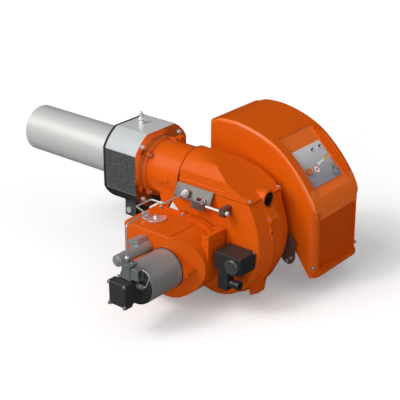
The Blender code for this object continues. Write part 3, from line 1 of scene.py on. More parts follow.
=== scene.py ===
"""Looks of a monobloc oil burner: enamel, castings, plated steel, moulded plastic and small parts.

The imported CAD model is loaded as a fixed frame. Each sub-assembly is a class that holds its sizes,
makes its pieces and dresses them. Metres, +X into the boiler, +Y to the motor side, +Z up.
"""

import json
import logging
import math
from dataclasses import dataclass, field, replace
from enum import Enum, IntEnum
from typing import Any, Optional, Sequence

import bmesh
import bpy
from mathutils import Matrix, Vector


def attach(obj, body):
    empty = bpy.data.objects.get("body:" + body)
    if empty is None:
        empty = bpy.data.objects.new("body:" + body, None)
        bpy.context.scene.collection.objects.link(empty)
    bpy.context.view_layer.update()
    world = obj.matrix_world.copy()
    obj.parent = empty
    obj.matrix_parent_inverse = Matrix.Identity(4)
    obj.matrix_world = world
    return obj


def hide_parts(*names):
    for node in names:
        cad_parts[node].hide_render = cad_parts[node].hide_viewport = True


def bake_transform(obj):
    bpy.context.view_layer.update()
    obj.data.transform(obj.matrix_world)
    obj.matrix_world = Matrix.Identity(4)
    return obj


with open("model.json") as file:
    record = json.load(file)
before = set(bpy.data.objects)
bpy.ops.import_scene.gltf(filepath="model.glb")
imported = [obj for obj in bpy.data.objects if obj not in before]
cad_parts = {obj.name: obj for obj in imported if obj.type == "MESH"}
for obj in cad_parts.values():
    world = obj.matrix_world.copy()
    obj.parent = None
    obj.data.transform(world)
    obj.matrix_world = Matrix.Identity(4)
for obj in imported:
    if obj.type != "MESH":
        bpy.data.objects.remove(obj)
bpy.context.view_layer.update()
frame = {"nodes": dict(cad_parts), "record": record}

LOG = logging.getLogger("burner")
Point = tuple[float, float, float]
Pair = tuple[float, float]
Outline = tuple[Pair, ...]
Feet = tuple[tuple[Point, Point], ...]
Roundings = dict[str, tuple[float, int]]
Socket = bpy.types.NodeSocket
Shape = bmesh.types.BMesh
Piece = bpy.types.Object

MM = 0.001
MERGE_DISTANCE = 2e-6
FLAT_ANGLE = math.radians(0.6)
FOLD_ANGLE = math.radians(38.0)
SMOOTH_ANGLE = math.radians(34.0)
HEAD_SMOOTH_ANGLE = math.radians(32.0)
LOOP_MERGE_DISTANCE = 1e-6
NORMAL_WEIGHT = 50
STEEL_SLOT = "bright_steel"
UP: Point = (0.0, 0.0, 1.0)
NEAR: Point = (0.0, 1.0, 0.0)
REAR: Point = (-1.0, 0.0, 0.0)


def mm(*values: float) -> Vector:
    """Return a vector given in millimetres."""
    return Vector(values) * MM


# Node trees


class Wiring:
    """Adds nodes to one tree and joins their sockets."""

    def __init__(self, tree: bpy.types.NodeTree) -> None:
        """Take the tree to work in."""
        self.tree = tree

    def feed(self, socket: Socket, value: object) -> None:
        """Give a socket a constant, or link another socket to it.

        Args:
            socket: The socket that takes it.
            value: Constant, with three numbers for a colour, or socket.
        """
        if isinstance(value, Socket):
            self.tree.links.new(value, socket)
        elif socket.type == "RGBA":
            socket.default_value = (*value, 1.0)
        else:
            socket.default_value = value

    def fill(self, node: bpy.types.Node, inputs: dict[Any, object]) -> None:
        """Feed some inputs of a node, by name or number."""
        for key, value in inputs.items():
            self.feed(node.inputs[key], value)

    def node(self, kind: str, inputs: Optional[dict[Any, object]] = None, **settings: object
             ) -> bpy.types.Node:
        """Add a node.

        Args:
            kind: Type of the node.
            inputs: Constant or socket for each input, by name or number.
            settings: Properties of the node, set before its inputs.

        Returns:
            The node.
        """
        made = self.tree.nodes.new(kind)
        for key, value in settings.items():
            setattr(made, key, value)
        self.fill(made, inputs or {})
        return made

    def out(self, kind: str, inputs: Optional[dict[Any, object]] = None, output: Any = 0,
            **settings: object) -> Socket:
        """Add a node and return one of its outputs, by name or number."""
        return self.node(kind, inputs, **settings).outputs[output]

    def maths(self, operation: str, *values: object) -> Socket:
        """Add a Math node and return its output."""
        return self.out("ShaderNodeMath", dict(enumerate(values)), operation=operation)

    def mix(self, factor: object, first: object, second: object) -> Socket:
        """Add a colour Mix node and return its output."""
        return self.out("ShaderNodeMix", {0: factor, 6: first, 7: second}, 2, data_type="RGBA")

    def noise(self, vector: Socket, scale: object, detail: float) -> Socket:
        """Add a noise texture and return its value."""
        inputs = {"Vector": vector, "Scale": scale, "Detail": detail}
        return self.out("ShaderNodeTexNoise", inputs, "Fac")

    def ramp(self, value: object, low: object, high: object, start: float = 0.0, end: float = 1.0
             ) -> Socket:
        """Add a smooth ramp between two ranges and return its output."""
        inputs = {"Value": value, "From Min": low, "From Max": high, "To Min": start, "To Max": end}
        return self.out("ShaderNodeMapRange", inputs, "Result", interpolation_type="SMOOTHSTEP")


def new_group(name: str, inputs: dict[str, tuple], outputs: dict[str, str],
              tree_type: str = "ShaderNodeTree") -> tuple[Wiring, Any, Any]:
    """Make an empty node group with named sockets.

    Args:
        name: Name of the group.
        inputs: Socket type of each input, with its default where it has one.
        outputs: Socket type of each output.
        tree_type: Type of the node tree.

    Returns:
        Its wiring, the sockets that give its inputs and the sockets that take its outputs.
    """
    tree = bpy.data.node_groups.new(name, tree_type)
    for label, (kind, *default) in inputs.items():
        socket = tree.interface.new_socket(label, in_out="INPUT", socket_type=f"NodeSocket{kind}")
        if default:
            socket.default_value = default[0]
    for label, kind in outputs.items():
        tree.interface.new_socket(label, in_out="OUTPUT", socket_type=f"NodeSocket{kind}")
    source, sink = tree.nodes.new("NodeGroupInput"), tree.nodes.new("NodeGroupOutput")
    return Wiring(tree), source.outputs, sink.inputs


SURFACE_OUTPUTS = {"Colour": "Color", "Roughness": "Float", "Height": "Float"}


def send_surface(wires: Wiring, given: Any, result: Any, swing: Socket, lift: Socket, height: Socket
                 ) -> None:
    """Send out a surface group's colour, roughness and height.

    Args:
        wires: The group's wiring.
        given: Its inputs.
        result: Its outputs.
        swing: Pattern from -1 to 1 that changes the roughness.
        lift: Brightness of the colour, about 1.
        height: Pattern for a Bump node.
    """
    tone = wires.out("ShaderNodeHueSaturation", {"Color": given["Colour"], "Value": lift})
    rough = wires.maths("MULTIPLY", swing, given["Roughness Spread"])
    wires.feed(result["Colour"], tone)
    wires.feed(result["Roughness"], wires.maths("ADD", rough, given["Roughness"]))
    wires.feed(result["Height"], height)


def skin_group() -> bpy.types.NodeTree:
    """Build the cloudy skin shared by enamel, paint and moulded plastic, with a fine surface grain.

    Returns:
        The group.
    """
    wires, given, result = new_group(
        "cloudy_skin",
        {"Place": ("Vector",), "Colour": ("Color",), "Cloud Scale": ("Float", 9.0),
         "Cloud Amount": ("Float", 0.08), "Roughness": ("Float", 0.3),
         "Roughness Spread": ("Float", 0.08), "Grain Scale": ("Float", 900.0),
         "Grain Amount": ("Float", 0.0)}, SURFACE_OUTPUTS)
    cloud = wires.noise(given["Place"], given["Cloud Scale"], 3.0)
    grain = wires.noise(given["Place"], given["Grain Scale"], 1.0)
    swing = wires.maths("MULTIPLY", wires.maths("SUBTRACT", cloud, 0.5), 2.0)
    speck = wires.maths("MULTIPLY", wires.maths("SUBTRACT", grain, 0.5), given["Grain Amount"])
    lift = wires.maths("ADD", wires.maths("MULTIPLY", swing, given["Cloud Amount"]),
                       wires.maths("ADD", speck, 1.0))
    send_surface(wires, given, result, swing, lift, grain)
    return wires.tree


def drawn_group() -> bpy.types.NodeTree:
    """Build the drawn or turned grain shared by plated, galvanised and machined metal.

    Returns:
        The group.
    """
    wires, given, result = new_group(
        "drawn_grain",
        {"Place": ("Vector",), "Colour": ("Color",), "Stretch": ("Vector", (1.0, 1.0, 1.0)),
         "Scale": ("Float", 400.0), "Amount": ("Float", 0.12), "Roughness": ("Float", 0.3),
         "Roughness Spread": ("Float", 0.1)}, SURFACE_OUTPUTS)
    scaled = wires.out("ShaderNodeVectorMath", {0: given["Place"], 1: given["Stretch"]},
                       operation="MULTIPLY")
    line = wires.noise(scaled, given["Scale"], 3.0)
    swing = wires.maths("MULTIPLY", wires.maths("SUBTRACT", line, 0.5), 2.0)
    lift = wires.maths("ADD", wires.maths("MULTIPLY", swing, given["Amount"]), 1.0)
    send_surface(wires, given, result, swing, lift, line)
    return wires.tree


def height_group() -> bpy.types.NodeTree:
    """Build a mask that rises smoothly from 0 to 1 between two heights.

    Returns:
        The group.
    """
    wires, given, result = new_group("height_mask", {"Low": ("Float", 0.0), "High": ("Float", 1.0)},
                                     {"Mask": "Float"})
    place = wires.out("ShaderNodeTexCoord", output="Object")
    height = wires.out("ShaderNodeSeparateXYZ", {0: place}, "Z")
    wires.feed(result["Mask"], wires.ramp(height, given["Low"], given["High"]))
    return wires.tree


# Finishes


class Grain(Enum):
    """Which shared surface a finish uses."""

    SKIN = "skin"
    DRAWN = "drawn"


SURFACE_GROUPS = {Grain.SKIN: skin_group(), Grain.DRAWN: drawn_group()}
HEIGHT_MASK = height_group()


@dataclass(frozen=True)
class Finish:
    """One surface finish, made into a material on first use."""

    name: str
    colour: Point
    roughness: float
    metallic: float = 0.0
    grain: Grain = Grain.SKIN
    scale: float = 30.0
    amount: float = 0.08
    spread: float = 0.06
    grain_scale: float = 900.0
    grain_amount: float = 0.0
    stretch: Point = (1.0, 1.0, 1.0)
    bump: float = 0.0
    bump_depth: float = 0.0003
    painted_light_colour: Optional[Point] = None
    painted_light_heights: Pair = (0.0, 1.0)
    specular: float = 0.5

    def group_node(self, wires: Wiring) -> bpy.types.Node:
        """Place this finish's shared group in a material.

        Args:
            wires: The material's wiring.

        Returns:
            The group's node.
        """
        place = wires.out("ShaderNodeTexCoord", output="Object")
        values = {"Place": place, "Colour": self.colour, "Roughness": self.roughness,
                  "Roughness Spread": self.spread}
        if self.grain is Grain.SKIN:
            values |= {"Cloud Scale": self.scale, "Cloud Amount": self.amount,
                       "Grain Scale": self.grain_scale, "Grain Amount": self.grain_amount}
        else:
            values |= {"Stretch": self.stretch, "Scale": self.scale, "Amount": self.amount}
        return wires.node("ShaderNodeGroup", values, node_tree=SURFACE_GROUPS[self.grain])

    def material(self) -> bpy.types.Material:
        """Make the material of this finish, unless it is there already.

        Returns:
            The material.
        """
        made = bpy.data.materials.get(self.name)
        if made:
            return made
        made = bpy.data.materials.new(self.name)
        made.use_nodes = True
        made.diffuse_color = (*self.colour, 1.0)
        wires = Wiring(made.node_tree)
        group = self.group_node(wires)
        colour = group.outputs["Colour"]
        # A painted light colour makes the surface lighter towards the top: painted light.
        if self.painted_light_colour:
            low, high = self.painted_light_heights
            rise = wires.out("ShaderNodeGroup", {"Low": low, "High": high}, node_tree=HEIGHT_MASK)
            colour = wires.mix(rise, colour, self.painted_light_colour)
        values = {"Base Color": colour, "Metallic": self.metallic,
                  "Roughness": group.outputs["Roughness"], "Specular IOR Level": self.specular}
        if self.bump:
            depth = {"Strength": self.bump, "Distance": self.bump_depth,
                     "Height": group.outputs["Height"]}
            values["Normal"] = wires.out("ShaderNodeBump", depth)
        wires.fill(made.node_tree.nodes["Principled BSDF"], values)
        return made


def printed(name: str, colour: Point) -> Finish:
    """Return the finish of a printed mark."""
    return Finish(f"printed_{name}", colour, roughness=0.35, amount=0.02)


ENAMEL = Finish("orange_gloss_enamel", (0.69, 0.099, 0.003), 0.28, scale=7.0, amount=0.04,
                spread=0.03, grain_scale=260.0, bump=0.05, bump_depth=0.0006, specular=0.14)
HOOD_ENAMEL = Finish("orange_moulded_hood", (0.69, 0.102, 0.003), 0.26, scale=5.0, amount=0.04,
                     spread=0.04, grain_scale=700.0, bump=0.06, specular=0.26)
# Lighter orange for the hood's wall round the panel and the floor of its recess: painted sheen where
# light falls on the one paint.
HOOD_PAINTED_SHEEN = Finish("orange_hood_painted_sheen", (0.92, 0.17, 0.016), 0.26, scale=6.0, amount=0.04,
                   grain_scale=700.0, bump=0.05, specular=0.35)
# Darker, matt orange for the label field sunk in the hood's rear wall: painted shade in the recess.
HOOD_PAINTED_SHADE = Finish("orange_hood_painted_shade", (0.6, 0.072, 0.001), 0.5, scale=5.0, amount=0.05,
                    specular=0.04)
# Lighter orange for rounded enamel edges and the hood's ridge: a painted highlight line.
ENAMEL_PAINTED_HIGHLIGHT = Finish("orange_painted_edge_highlight", (0.9, 0.22, 0.045), 0.22, scale=20.0, amount=0.06)
# Dark strip laid in a seam where the gap would be shaded: painted shadow.
SEAM_PAINTED_SHADOW = Finish("seam_shadow", (0.17, 0.03, 0.002), 0.9, scale=60.0, amount=0.05, specular=0.0)
TUBE = Finish("satin_tube_steel", (0.6, 0.6, 0.585), 0.42, 0.2, Grain.DRAWN, scale=60.0,
              amount=0.04, stretch=(0.4, 3.0, 3.0), bump=0.05, bump_depth=0.0004)
COLLAR = Finish("blasted_aluminium", (0.5, 0.515, 0.525), 0.5, 0.05, scale=24.0, amount=0.04,
                spread=0.05, grain_amount=0.1, bump=0.1)
# Lit and shaded copies of one aluminium: painted light on the collar's top, painted shade on its
# sides and below; the hammered grain of the sides is real.
COLLAR_PAINTED_LIGHT_TOP = replace(COLLAR, name="brushed_aluminium_painted_light_top", colour=(0.8, 0.81, 0.82), roughness=0.3,
                     metallic=0.3)
COLLAR_HAMMERED_SHADE = Finish("hammered_aluminium_painted_shade", (0.115, 0.118, 0.118), 0.42, 0.4, scale=20.0,
                     amount=0.05, grain_scale=190.0, grain_amount=1.7, bump=0.9, bump_depth=0.0014)
COLLAR_PAINTED_SHADE_LOW = Finish("aluminium_painted_shade_low", (0.06, 0.062, 0.064), 0.36, 0.4, scale=20.0)
FACED = Finish("faced_aluminium", (0.88, 0.86, 0.84), 0.2, 1.0, Grain.DRAWN, scale=200.0,
               amount=0.05, spread=0.04)
GASKET = Finish("dark_fibre", (0.009, 0.009, 0.009), 0.8, scale=60.0, amount=0.3,
                grain_scale=1500.0, bump=0.3)
BRIGHT_ZINC = Finish("bright_zinc_sheet", (0.8, 0.79, 0.78), 0.3, 0.8, scale=60.0, amount=0.05,
                     spread=0.03)
BLACKENED = Finish("blackened_screws", (0.3, 0.3, 0.3), 0.3, 0.6, scale=300.0, amount=0.1)
ZINC_SCREW = Finish("zinc_plated_screws", (0.44, 0.44, 0.45), 0.26, 0.6, scale=300.0, amount=0.1)
GALVANISED = Finish("galvanised_sheet", (0.17, 0.155, 0.146), 0.34, 0.72, scale=90.0, amount=0.2,
                    grain_scale=300.0, grain_amount=0.7)
PLATED = Finish("bright_plated_steel", (0.82, 0.82, 0.82), 0.24, 0.45, Grain.DRAWN, scale=500.0)
WHITE_METAL = Finish("white_metal", (0.75, 0.74, 0.73), 0.3, 0.5, scale=60.0, amount=0.05)
PIPE = Finish("drawn_steel_pipe", (0.56, 0.56, 0.55), 0.3, 0.5, Grain.DRAWN, scale=300.0,
              amount=0.1)
MOTOR = Finish("motor_satin_grey", (0.41, 0.415, 0.415), 0.32, 0.5, scale=16.0, amount=0.04,
               spread=0.05, grain_scale=800.0, bump=0.08)
PUMP_BLACK = Finish("pump_black_casting", (0.036, 0.036, 0.037), 0.42, 0.1, scale=40.0, amount=0.1,
                    grain_scale=700.0, grain_amount=0.25, bump=0.25, bump_depth=0.0004)
PLASTIC = Finish("black_moulding", (0.026, 0.026, 0.027), 0.38, grain_scale=1100.0,
                 grain_amount=0.12, bump=0.12, bump_depth=0.0002, specular=0.35)
DIAL_PLASTIC = Finish("dial_smoked_cover", (0.05, 0.051, 0.052), 0.26, amount=0.06)
VALVE = Finish("valve_grey_moulding", (0.15, 0.163, 0.168), 0.36, 0.2, grain_scale=1200.0,
               grain_amount=0.1, bump=0.1, bump_depth=0.0002)
SCALED = Finish("heat_scaled_steel", (0.16, 0.15, 0.145), 0.5, 0.85, scale=40.0, amount=0.3,
                spread=0.1)
CERAMIC = Finish("glazed_ceramic", (0.8, 0.78, 0.72), 0.25, amount=0.03)
BRASS = Finish("machined_brass", (0.66, 0.45, 0.16), 0.25, 1.0, Grain.DRAWN, scale=400.0)
# The panel film turns lighter towards its top through the height mask: a painted sheen.
PANEL = Finish("panel_grey_film_painted_sheen", (0.3, 0.295, 0.34), 0.3, scale=12.0, amount=0.03, spread=0.04,
               painted_light_heights=(0.0, 0.1), painted_light_colour=(0.72, 0.72, 0.72))
ORANGE_CAP = Finish("orange_button_cap", (0.7, 0.15, 0.03), 0.3, amount=0.04)
GREY_KNOB = Finish("grey_knob", (0.27, 0.26, 0.26), 0.34, scale=60.0, amount=0.06)
# Near-black lining of the sight hole: painted shade inside the hole.
INSIDE_PAINTED_SHADE = Finish("inside_painted_shade", (0.012, 0.011, 0.011), 0.7, amount=0.1)
RUBBER = Finish("black_rubber", (0.016, 0.016, 0.016), 0.6, amount=0.1, specular=0.3)
MARK_WHITE = printed("white", (0.88, 0.88, 0.88))
MARK_RED = printed("red", (0.5, 0.05, 0.035))
MARK_ORANGE = printed("orange", (0.72, 0.16, 0.03))
MARK_YELLOW = printed("yellow", (0.75, 0.5, 0.05))

FINISHED_NODES = (
    (BRASS, "nozzle"),
    (BRIGHT_ZINC, "damper_index"),
    (CERAMIC, "electrode_left electrode_right"),
    (COLLAR, "coupling_flange"),
    (DIAL_PLASTIC, "switch_dial"),
    (ENAMEL, "burner_body head_flange intake_box upper_cover"),
    (GALVANISED, "cabinet_bracket_front cabinet_bracket_rear damper_blade fan_wheel"),
    (GALVANISED, "regulation_plate spindle_bracket"),
    (GASKET, "boiler_gasket"),
    (GREY_KNOB, "selector_knob"),
    (HOOD_ENAMEL, "cabinet_base cabinet_hood"),
    (MOTOR, "capacitor motor terminal_box"),
    (ORANGE_CAP, "push_button"),
    (PANEL, "panel_plate"),
    (PIPE, "nozzle_line oil_pipe"),
    (PLASTIC, "cable_gland inlet_ring pressure_switch pump_coupling switch_plug"),
    (PLASTIC, "toggle_switch_a toggle_switch_b"),
    (PLATED, "adjust_spindle ear_clamp_bolt motor_shaft top_set_screw"),
    (PUMP_BLACK, "pump_body pump_cover pump_flange"),
    (SCALED, "flame_disc"),
    (TUBE, "blast_tube"),
    (VALVE, "pump_side_fitting valve_coil valve_socket"),
    (ZINC_SCREW, "lock_screw"))
NODE_FINISH: dict[str, Finish] = {node: finish for finish, nodes in FINISHED_NODES
                                  for node in nodes.split()}
# Enamel edges rounded by softened take this painted highlight finish.
EDGE_HIGHLIGHT_FINISH: dict[Finish, Finish] = {ENAMEL: ENAMEL_PAINTED_HIGHLIGHT, HOOD_ENAMEL: ENAMEL_PAINTED_HIGHLIGHT}


# Pieces


def body_of(node: str) -> str:
    """Return the body that a CAD node belongs to."""
    bodies = frame["record"]["behaviour"]["bodies"]
    return next(body for body, nodes in bodies.items() if node in nodes)


def slot_of(node: str) -> str:
    """Return the record's material slot of a CAD node."""
    rows = frame["record"]["subparts"]
    return next(row["material_slot"] for row in rows if row["node"] == node)


def placed(name: str, data: bpy.types.ID) -> Piece:
    """Make an object and link it to the scene.

    Args:
        name: Its name.
        data: Its mesh, lamp or camera.

    Returns:
        The object.
    """
    made = bpy.data.objects.new(name, data)
    bpy.context.scene.collection.objects.link(made)
    return made


def as_mesh(name: str, bm: Shape) -> bpy.types.Mesh:
    """Turn a bmesh into a mesh.

    Args:
        name: Name of the mesh.
        bm: The bmesh, which is freed.

    Returns:
        The mesh.
    """
    mesh = bpy.data.meshes.new(name)
    bm.to_mesh(mesh)
    bm.free()
    return mesh


def apply_modifiers(piece: Piece) -> None:
    """Replace a piece's mesh by its evaluated mesh and drop its modifiers.

    Args:
        piece: The piece.
    """
    bpy.context.view_layer.update()
    graph = bpy.context.evaluated_depsgraph_get()
    mesh = bpy.data.meshes.new_from_object(piece.evaluated_get(graph), depsgraph=graph)
    piece.modifiers.clear()
    piece.data = mesh


def merge_flat(bm: Shape) -> None:
    """Join faces that lie in one plane."""
    bmesh.ops.dissolve_limit(bm, angle_limit=FLAT_ANGLE, verts=bm.verts, edges=bm.edges)


def merged_copy(node: str) -> Shape:
    """Copy a CAD node's mesh with its doubles merged and its flat faces joined.

    Args:
        node: The CAD node.

    Returns:
        The copy.
    """
    bm = bmesh.new()
    bm.from_mesh(frame["nodes"][node].data)
    bmesh.ops.remove_doubles(bm, verts=bm.verts, dist=MERGE_DISTANCE)
    merge_flat(bm)
    return bm


def combined(base: Shape, others: Sequence[Shape], operation: str) -> Shape:
    """Join closed meshes to a base mesh as one solid, or cut them from it.

    Args:
        base: The mesh to change, which is freed.
        others: The closed meshes, which are freed.
        operation: UNION or DIFFERENCE.

    Returns:
        The new mesh.
    """
    solids = [placed("solid", as_mesh("solid", bm)) for bm in (base, *others)]
    body = solids[0]
    for tool in solids[1:]:
        step = body.modifiers.new("combine", "BOOLEAN")
        step.operation, step.solver, step.object = operation, "EXACT", tool
    apply_modifiers(body)
    whole = bmesh.new()
    whole.from_mesh(body.data)
    merge_flat(whole)
    for item in solids:
        bpy.data.objects.remove(item, do_unlink=True)
    return whole


def finish_object(name: str, bm: Shape, finish: Finish) -> Piece:
    """Turn a bmesh into a painted object that is smooth up to an angle.

    Args:
        name: Name of the piece.
        bm: Its mesh, which is freed.
        finish: Its finish.

    Returns:
        The piece, not yet seated.
    """
    for face in bm.faces:
        face.smooth = True
    for edge in bm.edges:
        edge.smooth = len(edge.link_faces) == 2 and edge.calc_face_angle(0.0) < SMOOTH_ANGLE
    piece = placed(name, as_mesh(name, bm))
    piece.data.materials.append(finish.material())
    return piece


def seat(piece: Piece, body: str, slot: str = "", *nodes: str) -> Piece:
    """Ride a piece on a body and hide the CAD nodes that it replaces.

    Args:
        piece: The piece, in place.
        body: The CAD body that it moves with.
        slot: The record's material slot, or empty. Not used.
        nodes: CAD nodes that it replaces.

    Returns:
        The piece.
    """
    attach(piece, body)
    if nodes:
        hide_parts(*nodes)
    LOG.info("%s rides on %s: %d vertices", piece.name, body, len(piece.data.vertices))
    return piece


def softened(node: str, width: float, segments: int, added: Sequence[Shape] = (),
             cut: Sequence[Shape] = ()) -> Piece:
    """Stand a copy with rounded edges in place of a rigid CAD node.

    Args:
        node: The CAD node.
        width: Width of the rounding, in millimetres.
        segments: Faces across the rounding.
        added: Closed meshes that are joined to the copy first.
        cut: Closed meshes that are then cut from it.

    Returns:
        The piece, riding on the node's body.
    """
    bm = merged_copy(node)
    if added:
        bm = combined(bm, added, "UNION")
    if cut:
        bm = combined(bm, cut, "DIFFERENCE")
    sharp = [edge for edge in bm.edges
             if len(edge.link_faces) == 2 and edge.calc_face_angle(0.0) > FOLD_ANGLE]
    # On enamel the faces of the rounding get the lighter painted highlight finish.
    edge_highlight = EDGE_HIGHLIGHT_FINISH.get(NODE_FINISH[node])
    bmesh.ops.bevel(bm, geom=sharp, offset=width * MM, segments=segments, profile=0.5,
                    affect="EDGES", clamp_overlap=True, harden_normals=False,
                    material=1 if edge_highlight else -1)
    piece = finish_object(f"{node}_dressed", bm, NODE_FINISH[node])
    if edge_highlight:
        piece.data.materials.append(edge_highlight.material())
    weighted = piece.modifiers.new("flat_faces", "WEIGHTED_NORMAL")
    weighted.mode = "FACE_AREA"
    weighted.weight = NORMAL_WEIGHT
    weighted.keep_sharp = True
    apply_modifiers(piece)
    return seat(piece, body_of(node), slot_of(node), node)


# Shapes


class Axis(IntEnum):
    """The axis that a shape is turned about or drawn along."""

    X = 0
    Y = 1
    Z = 2

    def place(self, along: float, first: float, second: float) -> Vector:
        """Return a point from its place along the axis and across it, in millimetres."""
        pair = (first, second)
        return mm(*pair[:self], along, *pair[self:])


def skinned(rings: Sequence[Sequence[Vector]], looped: bool = False) -> Shape:
    """Join rings of points into a closed mesh.

    Args:
        rings: Points of each ring, in metres.
        looped: Whether the last ring meets the first, instead of a cap at each end.

    Returns:
        The mesh.
    """
    bm = bmesh.new()
    rows = [[bm.verts.new(point) for point in ring] for ring in rings]
    size = len(rows[0])
    for one, two in zip(rows, rows[1:] + rows[:1] if looped else rows[1:]):
        for i in range(size):
            j = (i + 1) % size
            bm.faces.new((one[i], one[j], two[j], two[i]))
    if looped:
        bmesh.ops.remove_doubles(bm, verts=bm.verts, dist=LOOP_MERGE_DISTANCE)
    else:
        bm.faces.new(list(reversed(rows[0])))
        bm.faces.new(rows[-1])
    bmesh.ops.recalc_face_normals(bm, faces=bm.faces)
    return bm


def extruded(outline: Sequence[Pair], low: float, high: float, axis: Axis) -> Shape:
    """Extrude a closed outline between two planes of one axis, all in millimetres."""
    return skinned([[axis.place(along, *pair) for pair in outline] for along in (low, high)])


def circle(centre: Pair, radius: float, count: int = 28) -> Outline:
    """Return the corners of a circle."""
    return tuple((centre[0] + radius * math.sin(angle), centre[1] + radius * math.cos(angle))
                 for angle in (2 * math.pi * i / count for i in range(count)))


BEND_STEPS = 7
BEND_REACH = 0.45
ROD_STEP = 12 * MM


def bent_line(points: Sequence[Vector], bend: float) -> list[Vector]:
    """Round the corners of a line and divide its long stretches.

    Args:
        points: Corners of the line, in metres.
        bend: Radius of its bends, smaller where a stretch is short.

    Returns:
        The points of the finished line.
    """
    path = [points[0]]
    for before, here, after in zip(points, points[1:], points[2:]):
        into, out = (before - here).normalized(), (after - here).normalized()
        half = into.angle(out) / 2
        room = BEND_REACH * min((before - here).length, (after - here).length)
        back = min(bend / math.tan(half), room)
        centre = here + (into + out).normalized() * (back / math.cos(half))
        start, end = here + into * back, here + out * back
        turn = (start - centre).angle(end - centre)
        pivot = (start - centre).cross(end - centre).normalized()
        path += [centre + Matrix.Rotation(turn * i / BEND_STEPS, 3, pivot) @ (start - centre)
                 for i in range(BEND_STEPS + 1)]
    path.append(points[-1])
    dense = [path[0]]
    for one, two in zip(path, path[1:]):
        steps = max(1, int((two - one).length / ROD_STEP))
        dense += [one.lerp(two, i / steps) for i in range(1, steps + 1)]
    return dense


def rod(corners: Sequence[Point], radius: float, bend: float, count: int) -> Shape:
    """Sweep a circle along a bent line, in millimetres.

    Args:
        corners: Corners of the line.
        radius: Radius of the rod.
        bend: Radius of its bends.
        count: Points round it.

    Returns:
        A closed mesh.
    """
    line = bent_line([mm(*corner) for corner in corners], bend * MM)
    side, rings = None, []
    for i, point in enumerate(line):
        ahead = (line[min(i + 1, len(line) - 1)] - line[max(i - 1, 0)]).normalized()
        side = side - ahead * side.dot(ahead) if side else ahead.orthogonal()
        side.normalize()
        other = ahead.cross(side)
        rings.append([point + radius * MM * (math.cos(a) * side + math.sin(a) * other)
                      for a in (2 * math.pi * k / count for k in range(count))])
    return skinned(rings)


@dataclass(frozen=True)
class Turned:
    """A turned ring, nut or cap, in millimetres."""

    name: str
    finish: Finish
    axis: Axis
    centre: Pair
    foot: float
    top: float
    bore: float
    radius: float
    chamfer: Pair = (0.0, 0.0)
    sides: int = 24
    body: str = "burner"
    slot: str = ""

    def shape(self) -> Shape:
        """Turn the profile about the axis.

        Returns:
            A closed mesh.
        """
        back, inward = self.chamfer
        rim = [(self.top, self.radius)]
        if back:
            rim = [(self.top - math.copysign(back, self.top - self.foot), self.radius),
                   (self.top, self.radius - inward)]
        profile = [(self.foot, self.bore), (self.foot, self.radius), *rim, (self.top, self.bore)]
        first, second = self.centre
        return skinned([[self.axis.place(along, first + radius * math.cos(angle),
                                         second + radius * math.sin(angle))
                         for along, radius in profile]
                        for angle in (2 * math.pi * i / self.sides for i in range(self.sides))],
                       looped=True)

    def build(self, stand: Optional[Matrix] = None) -> Piece:
        """Make the piece and seat it.

        Args:
            stand: Where it stands, or None if its own place holds.

        Returns:
            The piece.
        """
        bm = self.shape()
        if stand:
            bmesh.ops.transform(bm, verts=bm.verts, matrix=stand)
        return seat(finish_object(self.name, bm, self.finish), self.body, self.slot)


# Fastener heads, placed by Geometry Nodes


@dataclass(frozen=True)
class HeadSize:
    """Sizes of one kind of fastener head, in millimetres."""

    radius: float
    height: float
    washer: float
    washer_height: float
    socket: float
    sides: int = 20


CAP_LARGE = HeadSize(6.6, 5.5, 8.6, 1.2, 2.4)
CAP_MEDIUM = HeadSize(4.8, 4.2, 6.0, 0.8, 2.1)
CAP_SMALL = HeadSize(3.2, 2.6, 4.0, 0.6, 1.4)
CAP_TINY = HeadSize(2.3, 1.6, 2.8, 0.4, 1.0)
HEX_SMALL = HeadSize(4.6, 3.2, 6.2, 0.8, 0.9, 6)
SPIN_STEP = 0.7

# Shares of a head's own sizes
WASHER_TAPER = 0.95
DRUM_HEIGHT = 0.8
DRUM_SEAT = 0.9
RIM_HEIGHT = 0.22
RIM_TAPER = 0.82
RIM_SEAT = 0.99
SOCKET_FLOOR = 0.45


